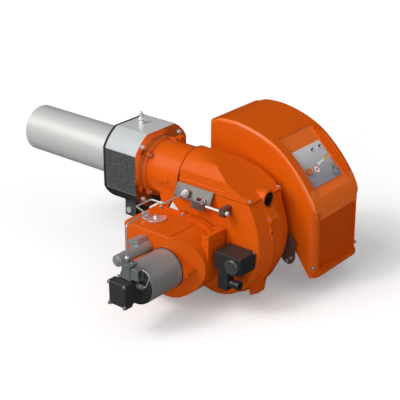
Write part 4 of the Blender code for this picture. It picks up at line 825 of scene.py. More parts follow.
def head_tree() -> bpy.types.NodeTree:
    """Build the node tree that stands a fastener head on each point of a mesh.

    The points carry the attributes axis and spin. A head is a washer, a drum or hexagon with a
    tapered top and a hexagon recess.

    Returns:
        The Geometry Nodes tree, with named inputs.
    """
    wires, given, result = new_group(
        "fastener_heads",
        {"Geometry": ("Geometry",), "Head Radius": ("Float", 0.005),
         "Head Height": ("Float", 0.004), "Washer Radius": ("Float", 0.006),
         "Washer Height": ("Float", 0.001),
         "Socket Radius": ("Float", 0.002), "Sides": ("Int", 20), "Material": ("Material",)},
        {"Geometry": "Geometry"}, "GeometryNodeTree")

    def share(size: str, part: float) -> Socket:
        """Return a share of one of the tree's sizes."""
        return wires.maths("MULTIPLY", given[size], part)

    def cone(sides: object, low: Socket, high: Socket, depth: Socket, lift: object = 0.0) -> Socket:
        """Add a closed cone frustum.

        Args:
            sides: Its number of sides.
            low: Its radius at the foot.
            high: Its radius at the top.
            depth: Its height.
            lift: Height of its foot.

        Returns:
            The geometry.
        """
        inputs = {"Vertices": sides, "Radius Bottom": low, "Radius Top": high, "Depth": depth}
        mesh = wires.out("GeometryNodeMeshCone", inputs)
        offset = wires.out("ShaderNodeCombineXYZ", {"Z": lift})
        return wires.out("GeometryNodeTransform", {"Geometry": mesh, "Translation": offset})

    def attribute(name: str, kind: str) -> Socket:
        """Read an attribute of the points."""
        return wires.out("GeometryNodeInputNamedAttribute", {"Name": name}, data_type=kind)

    radius, socket = given["Head Radius"], given["Socket Radius"]
    washer = cone(24, given["Washer Radius"], share("Washer Radius", WASHER_TAPER),
                  given["Washer Height"])
    drum_height = share("Head Height", DRUM_HEIGHT)
    drum_foot = share("Washer Height", DRUM_SEAT)
    drum = cone(given["Sides"], radius, radius, drum_height, drum_foot)
    rim_foot = wires.maths("ADD", drum_foot, wires.maths("MULTIPLY", drum_height, RIM_SEAT))
    rim = cone(given["Sides"], radius, share("Head Radius", RIM_TAPER),
               share("Head Height", RIM_HEIGHT), rim_foot)
    recess_foot = wires.maths("ADD", given["Washer Height"], share("Head Height", SOCKET_FLOOR))
    recess = cone(6, socket, socket, given["Head Height"], recess_foot)
    whole = wires.node("GeometryNodeMeshBoolean", operation="UNION", solver="EXACT")
    for mesh in (washer, drum, rim):
        wires.feed(whole.inputs["Mesh 2"], mesh)
    holed = wires.out("GeometryNodeMeshBoolean", {"Mesh 1": whole.outputs[0], "Mesh 2": recess},
                      operation="DIFFERENCE", solver="EXACT")
    align = wires.out("FunctionNodeAlignRotationToVector",
                      {"Vector": attribute("axis", "FLOAT_VECTOR")}, axis="Z")
    turn = wires.out("FunctionNodeAxisAngleToRotation", {"Angle": attribute("spin", "FLOAT")})
    twist = wires.out("FunctionNodeRotateRotation", {"Rotation": align, "Rotate By": turn},
                      rotation_space="LOCAL")
    stand = wires.out("GeometryNodeInstanceOnPoints",
                      {"Points": given["Geometry"], "Instance": holed, "Rotation": twist})
    real = wires.out("GeometryNodeRealizeInstances", {0: stand})
    paint = wires.out("GeometryNodeSetMaterial", {"Geometry": real, "Material": given["Material"]})
    wires.feed(result["Geometry"], paint)
    return wires.tree


HEAD_TREE = head_tree()


def facing(direction: Point, *feet: Point) -> Feet:
    """Pair the feet of some heads with the direction that they point to."""
    return tuple((foot, direction) for foot in feet)


def four(x: float, y: float, z: float) -> list[Point]:
    """Return a place and its mirror images across and up."""
    return [(x, a, b) for a in (y, -y) for b in (z, -z)]


@dataclass(frozen=True)
class Screws:
    """Fastener heads of one kind that make one piece, with their feet in millimetres."""

    name: str
    size: HeadSize
    feet: Feet
    finish: Finish = ZINC_SCREW
    body: str = "burner"

    def points(self) -> bpy.types.Mesh:
        """Make a mesh with a point at each foot that carries its direction and turn.

        Returns:
            The mesh, without faces.
        """
        mesh = bpy.data.meshes.new(self.name)
        mesh.from_pydata([tuple(mm(*foot)) for foot, _ in self.feet], [], [])
        mesh.attributes.new("axis", "FLOAT_VECTOR", "POINT")
        mesh.attributes.new("spin", "FLOAT", "POINT")
        for number, (_, direction) in enumerate(self.feet):
            mesh.attributes["axis"].data[number].vector = Vector(direction).normalized()
            mesh.attributes["spin"].data[number].value = SPIN_STEP * number
        return mesh

    def build(self) -> Piece:
        """Stand the heads on their feet and seat them.

        Returns:
            The piece, one plain mesh.
        """
        piece = placed(self.name, self.points())
        modifier = piece.modifiers.new("heads", "NODES")
        modifier.node_group = HEAD_TREE
        size = self.size
        values = {"Head Radius": size.radius * MM, "Head Height": size.height * MM,
                  "Washer Radius": size.washer * MM, "Washer Height": size.washer_height * MM,
                  "Socket Radius": size.socket * MM, "Sides": size.sides,
                  "Material": self.finish.material()}
        for socket in HEAD_TREE.interface.items_tree:
            if socket.name in values and socket.in_out == "INPUT":
                modifier[socket.identifier] = values[socket.name]
        apply_modifiers(piece)
        for polygon in piece.data.polygons:
            polygon.use_smooth = True
        piece.data.set_sharp_from_angle(angle=HEAD_SMOOTH_ANGLE)
        return seat(piece, self.body, STEEL_SLOT)


# The stage


@dataclass
class Studio:
    """Camera, floor, lamps and world."""

    camera_place: Point = (-2.35055, 2.52048, 1.37869)
    azimuth: float = 129.03
    elevation: float = 24.2
    roll: float = 0.28
    lens: float = 98.12
    sensor: float = 36.0
    clip: Pair = (0.05, 60.0)
    floor_height: float = -0.358
    floor_half: float = 14.0
    floor_grey: Point = (0.52, 0.52, 0.52)
    floor_roughness: float = 0.9
    floor_lift: Point = (0.188, 0.219, 0.221)
    floor_pale: Point = (0.975, 0.935, 0.932)
    floor_matt: float = 0.92
    sky_heights: Pair = (-0.1, 0.75)
    sky_strengths: Pair = (0.3, 0.6)
    back_box: Point = (-0.48, -0.72, 0.45)
    back_box_edges: Pair = (22.0, 13.0)
    back_box_strength: float = 4.0
    suns: tuple[tuple[str, Point, float, float], ...] = (
        ("key_soft_box", (0.42, 0.8, 0.75), 1.9, 50.0),
        ("key_core", (0.38, 0.8, 0.85), 0.6, 12.0),
        ("low_soft_box", (-0.3, 0.93, 0.12), 0.7, 26.0),
        ("top_soft_box", (-0.1, 0.1, 1.0), 0.62, 80.0),
        ("rear_soft_box", (-0.85, 0.25, 0.4), 0.6, 70.0))

    def camera(self) -> None:
        """Place the camera at the photograph's viewing angle."""
        turn, lift, roll = (math.radians(v) for v in (self.azimuth, self.elevation, self.roll))
        back = Vector((math.cos(turn), math.sin(turn), 0.0)) * math.cos(lift)
        back.z = math.sin(lift)
        right = Vector((-math.sin(turn), math.cos(turn), 0.0))
        up = back.cross(right)
        across = right * math.cos(roll) + up * math.sin(roll)
        above = up * math.cos(roll) - right * math.sin(roll)
        data = bpy.data.cameras.new("camera")
        data.lens = self.lens
        data.sensor_width = self.sensor
        data.clip_start, data.clip_end = self.clip
        item = placed("camera", data)
        item.matrix_world = Matrix.Translation(self.camera_place) @ Matrix(
            (across, above, back)).transposed().to_4x4()
        bpy.context.scene.camera = item

    def floor(self) -> None:
        """Lay a floor that is pale to the camera, with its shadow, and faint in reflections."""
        bm = bmesh.new()
        bmesh.ops.create_grid(bm, x_segments=2, y_segments=2, size=self.floor_half)
        bmesh.ops.translate(bm, verts=bm.verts, vec=(0, 0, self.floor_height))
        item = placed("floor", as_mesh("floor", bm))
        made = bpy.data.materials.new("pale_floor")
        made.use_nodes = True
        item.data.materials.append(made)
        wires = Wiring(made.node_tree)
        shader = made.node_tree.nodes["Principled BSDF"]
        path = wires.node("ShaderNodeLightPath")
        camera = path.outputs["Is Camera Ray"]
        wires.fill(shader, {"Base Color": wires.mix(camera, self.floor_grey, self.floor_pale),
                            "Roughness": self.floor_roughness, "Specular IOR Level": 0.0})
        light = wires.out("ShaderNodeEmission", {"Color": self.floor_lift, "Strength": camera})
        both = wires.out("ShaderNodeAddShader", {0: shader.outputs[0], 1: light})
        matt = wires.maths("MULTIPLY", path.outputs["Is Glossy Ray"], self.floor_matt)
        seen = wires.out("ShaderNodeMixShader", {0: matt, 1: both})
        wires.fill(made.node_tree.nodes["Material Output"], {"Surface": seen})

    def world(self) -> None:
        """Set a white surround that is darker towards the horizon, with one bright field."""
        world = bpy.data.worlds.new("surround")
        bpy.context.scene.world = world
        world.use_nodes = True
        wires = Wiring(world.node_tree)
        sky = world.node_tree.nodes["Background"]
        place = wires.out("ShaderNodeTexCoord", output="Generated")
        height = wires.out("ShaderNodeSeparateXYZ", {0: place}, "Z")
        box = Vector(self.back_box).normalized()
        towards = wires.out("ShaderNodeVectorMath", {0: place, 1: box}, "Value",
                            operation="DOT_PRODUCT")
        edges = [math.cos(math.radians(angle)) for angle in self.back_box_edges]
        wires.fill(sky, {"Strength": wires.maths(
            "ADD", wires.ramp(height, *self.sky_heights, *self.sky_strengths),
            wires.ramp(towards, *edges, 0.0, self.back_box_strength))})
        white = wires.out("ShaderNodeBackground", {"Color": (1.0, 1.0, 1.0)})
        camera = wires.out("ShaderNodeLightPath", output="Is Camera Ray")
        blend = wires.out("ShaderNodeMixShader", {0: camera, 1: sky.outputs[0], 2: white})
        wires.fill(world.node_tree.nodes["World Output"], {"Surface": blend})
        bpy.context.scene.view_settings.view_transform = "Standard"

    def build(self) -> None:
        """Make the whole stage."""
        self.camera()
        self.floor()
        self.world()
        for name, towards, strength, spread in self.suns:
            data = bpy.data.lights.new(name, "SUN")
            data.energy = strength
            data.angle = math.radians(spread)
            placed(name, data).rotation_euler = Vector(towards).to_track_quat("Z", "Y").to_euler()


# Sub-assemblies


def rounded(**sizes: tuple[float, int]) -> Any:
    """Return a field with the width in millimetres and the steps of each node's rounded edges."""
    return field(default_factory=lambda: dict(sizes))


@dataclass
class SubAssembly:
    """A group of CAD nodes that are dressed together, with the small parts that go with them."""

    roundings: Roundings = rounded()
    plain: tuple[str, ...] = ()
    turned: tuple[Turned, ...] = ()
    screws: tuple[Screws, ...] = ()
    zoned: str = ""
    zone_finishes: tuple[Finish, ...] = ()

    def added(self, node: str) -> list[Shape]:
        """Return the closed meshes that are joined to a node before its edges are rounded."""
        return []

    def cut(self, node: str) -> list[Shape]:
        """Return the closed meshes that are then cut from it."""
        return []

    def zone(self, face: bpy.types.MeshPolygon) -> int:
        """Return the slot of a face of the zoned node, or 0 if it keeps its own."""
        return 0

    def details(self) -> None:
        """Add what the fields don't list."""

    def paint(self, piece: Piece) -> None:
        """Give the faces of the zoned node their own finishes."""
        for finish in self.zone_finishes:
            piece.data.materials.append(finish.material())
        for face in piece.data.polygons:
            face.material_index = self.zone(face) or face.material_index

    def build(self) -> None:
        """Round the edges, paint the nodes that stay and add the small parts."""
        for node, (width, segments) in self.roundings.items():
            piece = softened(node, width, segments, self.added(node), self.cut(node))
            if node == self.zoned:
                self.paint(piece)
        for node in self.plain:
            for place in frame["nodes"][node].material_slots:
                place.material = NODE_FINISH[node].material()
        for item in (*self.turned, *self.screws):
            item.build()
        self.details()


class CollarZone(IntEnum):
    """Material slot of each part of the collar's surface, with painted light on the top and painted
    shade on the sides and below.
    """

    SIDE = 1
    LOW = 2
    FACED = 3
    TOP = 4


@dataclass
class Collar(SubAssembly):
    """Clamp collar with its gasket, bolts and set screw."""

    roundings: Roundings = rounded(coupling_flange=(1.0, 2), top_set_screw=(0.5, 1),
                                   ear_clamp_bolt=(0.5, 1), boiler_gasket=(0.6, 1))
    turned: tuple[Turned, ...] = (
        Turned("set_screw_nut", PLATED, Axis.Z, (-55.0, 0.0), 141.0, 149.0, 5.0, 8.6, (1.0, 1.0), 6,
               "coupling", STEEL_SLOT),
        Turned("set_screw_cap", PLATED, Axis.Z, (-55.0, 0.0), 157.0, 168.0, 4.0, 5.8, (1.5, 1.2),
               body="coupling", slot=STEEL_SLOT))
    screws: tuple[Screws, ...] = (
        Screws("mounting_bolt_heads", CAP_LARGE, facing(REAR, *four(-142.0, 91.5, 91.5)), PLATED,
               "coupling"),)
    zoned: str = "coupling_flange"
    zone_finishes: tuple[Finish, ...] = (COLLAR_HAMMERED_SHADE, COLLAR_PAINTED_SHADE_LOW, FACED, COLLAR_PAINTED_LIGHT_TOP)
    casting: Pair = (-142.0, -6.3)
    gasket: Pair = (-6.0, 0.0)
    half: float = 128.0
    flat: float = 69.0
    bulge: float = 6.0
    depth: float = 6.0
    steps: int = 6
    gasket_edge: Pair = (-9.5, -0.3)
    gasket_proud: float = 0.5
    gasket_inside: float = -2.5
    facing_rear: float = -0.6
    facing_front: float = 0.8
    facing_up: float = 0.93
    upright: Pair = (-0.14, 0.14)

    def arc(self, grow: float = 0.0) -> list[Pair]:
        """Draw one bulged corner of the collar's outline.

        Args:
            grow: Distance that it is moved out.

        Returns:
            Its points, as distance along the diagonal and across it.
        """
        reach = (self.half - self.flat) / math.sqrt(2)
        radius = (reach ** 2 + self.bulge ** 2) / (2 * self.bulge)
        centre = (self.half + self.flat) / math.sqrt(2) + self.bulge - radius
        spread = math.asin(reach / radius)
        return [(centre + (radius + grow) * math.cos(angle), (radius + grow) * math.sin(angle))
                for angle in (spread * (i / self.steps - 1) for i in range(2 * self.steps + 1))]

    def quarters(self, line: Sequence[Pair]) -> list[list[Pair]]:
        """Turn a corner's line to each of the four diagonals."""
        turns = [math.radians(45 + 90 * quarter) for quarter in range(4)]
        return [[(a * math.cos(turn) - b * math.sin(turn), a * math.sin(turn) + b * math.cos(turn))
                 for a, b in line] for turn in turns]

    def corners(self, rear: float, front: float) -> list[Shape]:
        """Make the four rounded corners that stand on the CAD model's flat facets.

        Args:
            rear: Rear end of the corners.
            front: Front end of the corners.

        Returns:
            Four closed meshes.
        """
        line = self.arc()
        inside = (self.half + self.flat) / math.sqrt(2) - self.depth
        line += [(inside, line[-1][1] - self.depth), (inside, line[0][1] + self.depth)]
        return [extruded(outline, rear, front, Axis.X) for outline in self.quarters(line)]

    def outline(self, grow: float) -> list[Pair]:
        """Return the collar's outline across the tube, grown or shrunk by a distance."""
        return [pair for corner in self.quarters(self.arc(grow)) for pair in corner]

    def added(self, node: str) -> list[Shape]:
        """Return the corners of the collar and of its gasket."""
        spans = {"boiler_gasket": self.gasket, "coupling_flange": self.casting}
        return self.corners(*spans[node]) if node in spans else []

    def zone(self, face: bpy.types.MeshPolygon) -> int:
        """Tell the machined, upper, upright and lower faces of the collar apart, for painted light
        on the top and painted shade on the upright and lower faces.

        Args:
            face: The face.

        Returns:
            Its CollarZone, or 0 for the sloping upper faces.
        """
        # Faces are sorted by which way they face, to paint light on the top and shade on the sides
        # and below.
        normal = face.normal
        lowest, highest = self.upright
        if normal.x < self.facing_rear:
            return CollarZone.FACED
        if normal.z > self.facing_up:
            return CollarZone.TOP
        if normal.z < lowest:
            return CollarZone.LOW
        side = normal.z < highest or abs(normal.x) > self.facing_front or face.center.z < 0.0
        return CollarZone.SIDE if side else 0

    def details(self) -> None:
        """Add the dark edge of the gasket."""
        rear, front = self.gasket_edge
        hole = extruded(self.outline(self.gasket_inside), rear - self.depth, front + self.depth,
                        Axis.X)
        band = extruded(self.outline(self.gasket_proud), rear, front, Axis.X)
        seat(finish_object("gasket_edge", combined(band, [hole], "DIFFERENCE"), GASKET), "coupling")


@dataclass
class Head(SubAssembly):
    """Blast tube, its flange, and the mixing head inside it."""

    roundings: Roundings = rounded(head_flange=(0.8, 1), flame_disc=(0.4, 1))
    plain: tuple[str, ...] = ("blast_tube", "nozzle", "electrode_left", "electrode_right")


@dataclass
class Body(SubAssembly):
    """Body casting with the volute, and the fan inside it."""

    roundings: Roundings = rounded(burner_body=(1.3, 2))
    plain: tuple[str, ...] = ("inlet_ring", "fan_wheel", "motor_shaft")
    screws: tuple[Screws, ...] = (
        Screws("ring_screws", CAP_MEDIUM, facing(REAR, *four(-163.9, 77.4, 64.9))),
        Screws("lug_screws", CAP_SMALL,
               facing(REAR, (-181.0, -29.0, 88.5), (-190.0, -53.0, 79.0))
               + facing(NEAR, (-604.0, 30.0, -52.0), (-556.0, 30.0, -316.0))))


@dataclass
class Cover(SubAssembly):
    """Upper cover with the sight tube, and dark strips of painted shadow along its seams."""

    roundings: Roundings = rounded(upper_cover=(2.0, 3))
    turned: tuple[Turned, ...] = (
        Turned("sight_rim", ENAMEL, Axis.X, (0.0, 2.0), -566.0, -581.5, 23.4, 29.5, (1.5, 1.9), 64),
        # The near-black sleeve is painted shade inside the sight hole.
        Turned("sight_sleeve", INSIDE_PAINTED_SHADE, Axis.X, (0.0, 2.0), -579.5, -545.0, 22.8, 23.6, sides=64))
    screws: tuple[Screws, ...] = (
        Screws("cover_screws", CAP_MEDIUM,
               facing(UP, (-563.0, 74.0, 13.3), (-563.0, -74.0, 13.3))),)
    half: float = 85.5
    foot: float = 8.6
    shoulder: float = 55.0
    crown_centre: float = 15.5
    crown_half: float = 1.05 * 85.5
    crown_rise: float = 87.5
    crown_start: float = 34.0
    crown_step: float = 11.2
    crown_steps: int = 10
    seam_shadow_band: Pair = (0.5, -0.6)
    front_seam: Pair = (-293.4, -290.6)
    side_seam: Pair = (7.2, 8.6)
    rim: Outline = ((-293.0, 88.2), (-560.0, 88.2), (-574.2, 76.0))
    rear_inset: float = 1.2
    side_inset: float = 0.985

    def arch(self, proud: float) -> list[Pair]:
        """Draw the cover's front edge.

        Args:
            proud: Distance that it is moved out, in millimetres.

        Returns:
            Its points across the tube.
        """
        line = [(self.half + proud, self.foot), (self.half + proud, self.shoulder)]
        for step in range(self.crown_steps + 1):
            angle = math.radians(self.crown_start + self.crown_step * step)
            line.append(((self.crown_half + proud) * math.cos(angle),
                         self.crown_centre + (self.crown_rise + proud) * math.sin(angle)))
        return line + [(-self.half - proud, self.shoulder), (-self.half - proud, self.foot)]

    def details(self) -> None:
        """Add painted shadow strips in the seam between the neck and the cover, and in the one below
        the cover.
        """
        outer, inner = (self.arch(proud) for proud in self.seam_shadow_band)
        seam_shadow_band = extruded(outer + inner[::-1], *self.front_seam, Axis.X)
        seat(finish_object("cover_front_seam_shadow", seam_shadow_band, SEAM_PAINTED_SHADOW), "burner")
        outside = [*self.rim, *((x, -y) for x, y in reversed(self.rim))]
        rear = self.rim[-1][0]
        inside = [(x + (self.rear_inset if x == rear else 0.0), y * self.side_inset)
                  for x, y in reversed(outside)]
        seam = extruded(outside + inside, *self.side_seam, Axis.Z)
        seat(finish_object("cover_side_seam_shadow", seam, SEAM_PAINTED_SHADOW), "burner")


@dataclass
class AirBox(SubAssembly):
    """Air intake box with its damper and index plate."""

    roundings: Roundings = rounded(intake_box=(2.2, 3), damper_index=(0.35, 1))
    plain: tuple[str, ...] = ("damper_blade",)
    screws: tuple[Screws, ...] = (
        Screws("box_rim_screws", CAP_MEDIUM,
               facing(NEAR, (-231.0, 105.0, -89.0), (-323.0, 105.0, -89.0))),
        Screws("box_block_screws", CAP_TINY,
               facing(UP, (-466.0, 135.0, -91.0), (-466.0, 168.0, -91.0)), RUBBER),
        Screws("index_bolt", HEX_SMALL, facing(UP, (-270.0, 176.0, -83.1)), body="damper"),
        Screws("motor_seat_screws", CAP_SMALL,
               facing(NEAR, (-456.0, 236.5, -200.0), (-398.0, 255.0, -268.5),
                      (-366.0, 255.0, -268.5)), RUBBER))


MOTOR_CENTRE: Pair = (-382.0, -200.0)


@dataclass
class Drive(SubAssembly):
    """Motor with its capacitor and terminal box, its seat ring, end seam and capacitor cap."""

    roundings: Roundings = rounded(motor=(1.2, 3), capacitor=(1.0, 2), terminal_box=(1.2, 2))
    turned: tuple[Turned, ...] = (
        Turned("motor_seat_ring", RUBBER, Axis.Y, MOTOR_CENTRE, 255.2, 257.8, 62.0, 67.4,
               (0.4, 0.6), 72),
        Turned("motor_end_seam", MOTOR, Axis.Y, MOTOR_CENTRE, 384.4, 385.4, 64.0, 66.2, sides=72),
        Turned("capacitor_cap", MOTOR, Axis.Y, (-305.0, -147.0), 396.0, 399.2, 0.0, 12.0,
               (0.6, 1.0), 32))


PUMP_CORNERS: Outline = tuple((x, z) for x in (-412.0, -352.0) for z in (-235.0, -165.0))


@dataclass
class Pump(SubAssembly):
    """Oil pump, its valve and the small lead at its side."""

    roundings: Roundings = rounded(
        pump_body=(1.6, 3), pump_cover=(1.8, 3), pump_flange=(0.8, 2), valve_coil=(0.8, 2),
        valve_socket=(0.8, 2), pump_side_fitting=(0.5, 1))
    plain: tuple[str, ...] = ("pump_coupling",)
    turned: tuple[Turned, ...] = tuple(
        Turned(f"pump_cover_boss_{number}", PUMP_BLACK, Axis.Y, corner, 452.0, 480.6, 0.0, 6.8,
               (1.0, 1.0), 28) for number, corner in enumerate(PUMP_CORNERS))
    screws: tuple[Screws, ...] = (
        Screws("pump_cover_screws", CAP_MEDIUM,
               facing(NEAR, *((x, 480.4, z) for x, z in PUMP_CORNERS)), BLACKENED),
        Screws("pump_body_screws", CAP_SMALL,
               facing((1.0, 0.0, 0.6), (-349.5, 437.0, -163.0))
               + facing(UP, (-352.0, 466.0, -161.3))),
        Screws("valve_screws", CAP_SMALL, facing(UP, (-398.0, 430.0, -110.2))))
    lead: tuple[Point, ...] = ((-436.5, 424.0, -180.0), (-446.0, 424.0, -176.0),
                               (-462.0, 424.0, -141.0), (-456.0, 424.0, -127.0),
                               (-437.5, 428.0, -119.0))
    lead_radius: float = 1.3
    lead_bend: float = 5.0
    lead_sides: int = 10

    def details(self) -> None:
        """Add the lead."""
        lead = rod(self.lead, self.lead_radius, self.lead_bend, self.lead_sides)
        seat(finish_object("pump_lead", lead, WHITE_METAL), "burner")


@dataclass
class OilPipe(SubAssembly):
    """Bent steel pipe from the valve to the nozzle line, with its nuts."""

    turned: tuple[Turned, ...] = (
        Turned("pipe_nut", PLATED, Axis.Y, (-341.0, -6.0), 126.6, 134.5, 3.2, 6.4, (1.5, 1.2), 6,
               "mixing_head", STEEL_SLOT),
        Turned("valve_nut", PLATED, Axis.Z, (-378.0, 428.0), -102.4, -94.0, 3.2, 6.6, (2.0, 1.6), 6,
               "burner", STEEL_SLOT))
    corners: tuple[Point, ...] = ((-378.0, 428.0, -107.5), (-378.0, 428.0, 8.0),
                                  (-354.0, 316.0, 0.0), (-292.0, 290.0, -5.0),
                                  (-292.0, 222.0, -5.0), (-341.0, 219.0, -6.0),
                                  (-341.0, 126.3, -6.0))
    radius: float = 3.0
    bend: float = 8.0
    sides: int = 20

    def details(self) -> None:
        """Sweep the pipe, hide the CAD pipe and bake the new pipe's place into its mesh."""
        bm = rod(self.corners, self.radius, self.bend, self.sides)
        pipe = finish_object("oil_pipe_dressed", bm, PIPE)
        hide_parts("oil_pipe")
        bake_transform(pipe)
        LOG.info("%s bends between burner and mixing_head", pipe.name)


@dataclass
class Regulation(SubAssembly):
    """Plate, fitting, lock screw and spindle that set the combustion head."""

    roundings: Roundings = rounded(regulation_plate=(0.35, 1), lock_screw=(0.6, 2),
                                   spindle_bracket=(0.6, 2), adjust_spindle=(0.4, 1),
                                   nozzle_line=(0.5, 1))
    turned: tuple[Turned, ...] = (
        Turned("lock_washer", PLATED, Axis.Y, (-412.0, -17.0), 111.8, 113.4, 4.2, 8.4, sides=28,
               slot=STEEL_SLOT),)
    zoned: str = "nozzle_line"
    zone_finishes: tuple[Finish, ...] = (WHITE_METAL,)
    fitting_start: float = 100.0

    def zone(self, face: bpy.types.MeshPolygon) -> int:
        """Return 1 for the faces of the nozzle line's fitting."""
        return int(face.center.y > self.fitting_start * MM)


@dataclass
class AirSwitch(SubAssembly):
    """Air pressure switch with its dial, plug and gland, and the bolt in its case's notch."""

    roundings: Roundings = rounded(pressure_switch=(0.9, 2), switch_plug=(1.0, 2),
                                   cable_gland=(0.6, 2), switch_dial=(0.8, 3))
    screws: tuple[Screws, ...] = (
        Screws("switch_bolt", CAP_MEDIUM, facing(UP, (-597.0, 96.0, -145.2))),)


@dataclass(frozen=True)
class Mark:
    """A thin printed mark, with corners as millimetres down the panel's slope and across it."""

    name: str
    finish: Finish
    outline: Outline
    thick: float = 0.25


FAN_MARK: Pair = (142.0, -236.0)


class HoodZone(IntEnum):
    """Material slot of each part of the hood's surface, with its painted highlight, sheen and shade.
    """

    EDGE = 1
    PAINTED_SHEEN = 2
    PAINTED_SHADE = 3


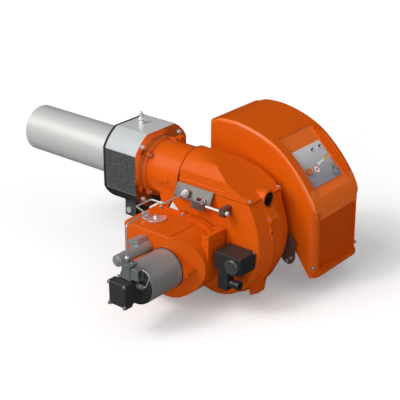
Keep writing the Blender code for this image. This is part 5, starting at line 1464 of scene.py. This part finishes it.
@dataclass
class Cabinet(SubAssembly):
    """Electrical cabinet: hood, tray, panel and controls."""

    roundings: Roundings = rounded(cabinet_hood=(1.5, 2), cabinet_base=(1.2, 2),
                                   panel_plate=(0.3, 1), push_button=(0.8, 2),
                                   selector_knob=(0.8, 2))
    plain: tuple[str, ...] = ("toggle_switch_a", "toggle_switch_b")
    screws: tuple[Screws, ...] = (
        Screws("hood_screws", CAP_MEDIUM,
               facing((-0.75, 0.66, 0.0), (-674.8, -125.6, -259.0))
               + facing((-0.75, -0.66, 0.0), (-674.8, -377.4, -259.0))),)
    zoned: str = "cabinet_hood"
    zone_finishes: tuple[Finish, ...] = (HOOD_PAINTED_SHEEN, HOOD_PAINTED_SHADE)
    top: Point = (-497.0, 0.0, 129.0)
    low: Point = (-660.0, 0.0, -26.0)
    film: float = 1.0
    knob_top: float = 12.0
    filler: Outline = ((-676.5, -92.0), (-640.0, -92.0), (-640.0, -276.0), (-679.5, -276.0))
    filler_sides: Pair = (-368.0, -136.0)
    inset: Outline = ((-720.0, -99.0), (-671.0, -99.0), (-674.5, -270.0), (-720.0, -270.0))
    inset_sides: Pair = (-366.0, -150.0)
    brow: Outline = ((-655.0, -30.0), (-668.0, -42.0), (-676.4, -68.0), (-678.0, -97.0),
                              (-655.0, -97.0))
    brow_sides: Pair = (-367.0, -152.0)
    toggles: Outline = ((78.0, -268.0), (78.0, -311.0))
    toggle_nut: Turned = Turned("toggle_collar", PLATED, Axis.Z, (0.0, 0.0), 0.0, 1.6, 4.2, 6.0,
                                (0.4, 0.4))
    dots: Outline = ((163.0, -299.5), (173.0, -309.5))
    dot: Turned = Turned("selector_dot", RUBBER, Axis.Z, (0.0, 0.0), 0.0, 0.6, 0.0, 2.6, sides=20,
                         body="selector")
    sunk: float = 0.1
    # Thresholds that pick the hood's faces for its painted ridge highlight, painted shade and
    # painted sheen.
    ridge_slant: Pair = (0.48, 0.66)
    ridge_rise: float = 0.1
    ridge_area: float = 4e-5
    facing_rear: float = -0.9
    inset_top: float = -150.0
    inset_floor: float = -676.0
    sheen_facing: float = -0.82
    sheen_low: float = -98.0
    along_panel: float = 0.995
    recess_top: float = -490.0
    marks: tuple[Mark, ...] = (
        Mark("mimic_fan_ring", MARK_ORANGE, circle(FAN_MARK, 15.0)),
        Mark("mimic_fan_field", MARK_WHITE, circle(FAN_MARK, 11.5), 0.35),
        Mark("mimic_fan_hub", MARK_RED, circle(FAN_MARK, 4.5), 0.45),
        Mark("mimic_duct", MARK_WHITE, ((124, -254), (121, -262), (124, -266), (120, -292),
                                        (127, -294), (129, -268), (133, -262), (132, -254))),
        Mark("mimic_flame", MARK_YELLOW, ((120, -298), (112, -310), (116, -326), (124, -314),
                                          (128, -300))),
        Mark("mimic_flame_tip", MARK_ORANGE, ((114, -310), (112, -328), (119, -316)), 0.4),
        Mark("mimic_line", MARK_RED, ((128, -330), (158, -330), (158, -332.5), (128, -332.5))),
        Mark("mimic_lamp", MARK_YELLOW, ((170, -178), (166, -182), (170, -186), (174, -182))))

    def directions(self) -> tuple[Vector, Vector]:
        """Return the panel's direction down its slope and the one out of its face."""
        down = (Vector(self.low) - Vector(self.top)).normalized()
        return down, Vector((down.z, 0.0, -down.x))

    def on_panel(self, along: float, y: float, rise: float) -> Vector:
        """Return a point on the sloping panel.

        Args:
            along: Distance down the slope, in millimetres.
            y: Position across, in millimetres.
            rise: Height above the panel's plane, in millimetres.

        Returns:
            The point, in metres.
        """
        down, out = self.directions()
        return (Vector(self.top) + down * along + out * rise + Vector((0.0, y, 0.0))) * MM

    def stand(self, along: float, y: float, rise: float) -> Matrix:
        """Return the move that stands an upright shape on the panel."""
        turn = self.directions()[1].to_track_quat("Z", "Y").to_matrix().to_4x4()
        return Matrix.Translation(self.on_panel(along, y, rise)) @ turn

    def added(self, node: str) -> list[Shape]:
        """Return what thickens the hood's rear wall, and the brow over it."""
        solids = ((self.filler, self.filler_sides), (self.brow, self.brow_sides))
        return [extruded(line, *sides, Axis.Y) for line, sides in solids if node == self.zoned]

    def cut(self, node: str) -> list[Shape]:
        """Return the label field that is sunk in the hood's rear wall."""
        return [extruded(self.inset, *self.inset_sides, Axis.Y)] if node == self.zoned else []

    def zone(self, face: bpy.types.MeshPolygon) -> int:
        """Tell the faces of the hood apart, for the painted light and shade on them.

        Args:
            face: The face.

        Returns:
            EDGE for the painted highlight along the ridge of the side walls, PAINTED_SHADE for the
            label field, PAINTED_SHEEN for the wall round the panel and the floor of its recess, or 0
            for the rest.
        """
        normal, middle = face.normal, face.center / MM
        out = self.directions()[1]
        # Painted highlight on the ridge, painted shade in the label field, painted sheen round the
        # panel.
        least, most = self.ridge_slant
        slanted = least < abs(normal.y) < most and normal.z > self.ridge_rise
        if slanted and face.area > self.ridge_area:
            return HoodZone.EDGE
        low = normal.x < self.facing_rear and middle.z < self.inset_top
        if low and middle.x > self.inset_floor:
            return HoodZone.PAINTED_SHADE
        if normal.x < self.sheen_facing and middle.z > self.sheen_low:
            return HoodZone.PAINTED_SHEEN
        sunken = (middle - Vector(self.top)).dot(out) < 0.0 and middle.x < self.recess_top
        return HoodZone.PAINTED_SHEEN if sunken and normal.dot(out) > self.along_panel else 0

    def details(self) -> None:
        """Add a plain mimic diagram, the toggles' nuts and the selector's dots."""
        for mark in self.marks:
            rings = [[self.on_panel(a, y, self.film + rise) for a, y in mark.outline]
                     for rise in (-self.sunk, mark.thick)]
            seat(finish_object(mark.name, skinned(rings), mark.finish), "burner")
        for piece, places, height in ((self.toggle_nut, self.toggles, self.film),
                                      (self.dot, self.dots, self.knob_top)):
            for number, place in enumerate(places):
                named = replace(piece, name=f"{piece.name}_{number}")
                named.build(self.stand(*place, height))


@dataclass
class Brackets(SubAssembly):
    """Steel brackets behind the body, with their bolts."""

    roundings: Roundings = rounded(cabinet_bracket_rear=(0.6, 1))
    plain: tuple[str, ...] = ("cabinet_bracket_front",)
    screws: tuple[Screws, ...] = (
        Screws("bracket_bolts", HEX_SMALL,
               facing(NEAR, (-593.0, -96.0, -246.0), (-608.0, -96.0, -232.0))),)


def main() -> None:
    """Build the stage and every sub-assembly."""
    logging.basicConfig(level=logging.INFO, format="%(name)s: %(message)s")
    Studio().build()
    for part in (Collar(), Head(), Body(), Cover(), AirBox(), Drive(), Pump(), OilPipe(),
                 Regulation(), AirSwitch(), Cabinet(), Brackets()):
        part.build()
        LOG.info("built %s", type(part).__name__)


if __name__ == "__main__":
    main()
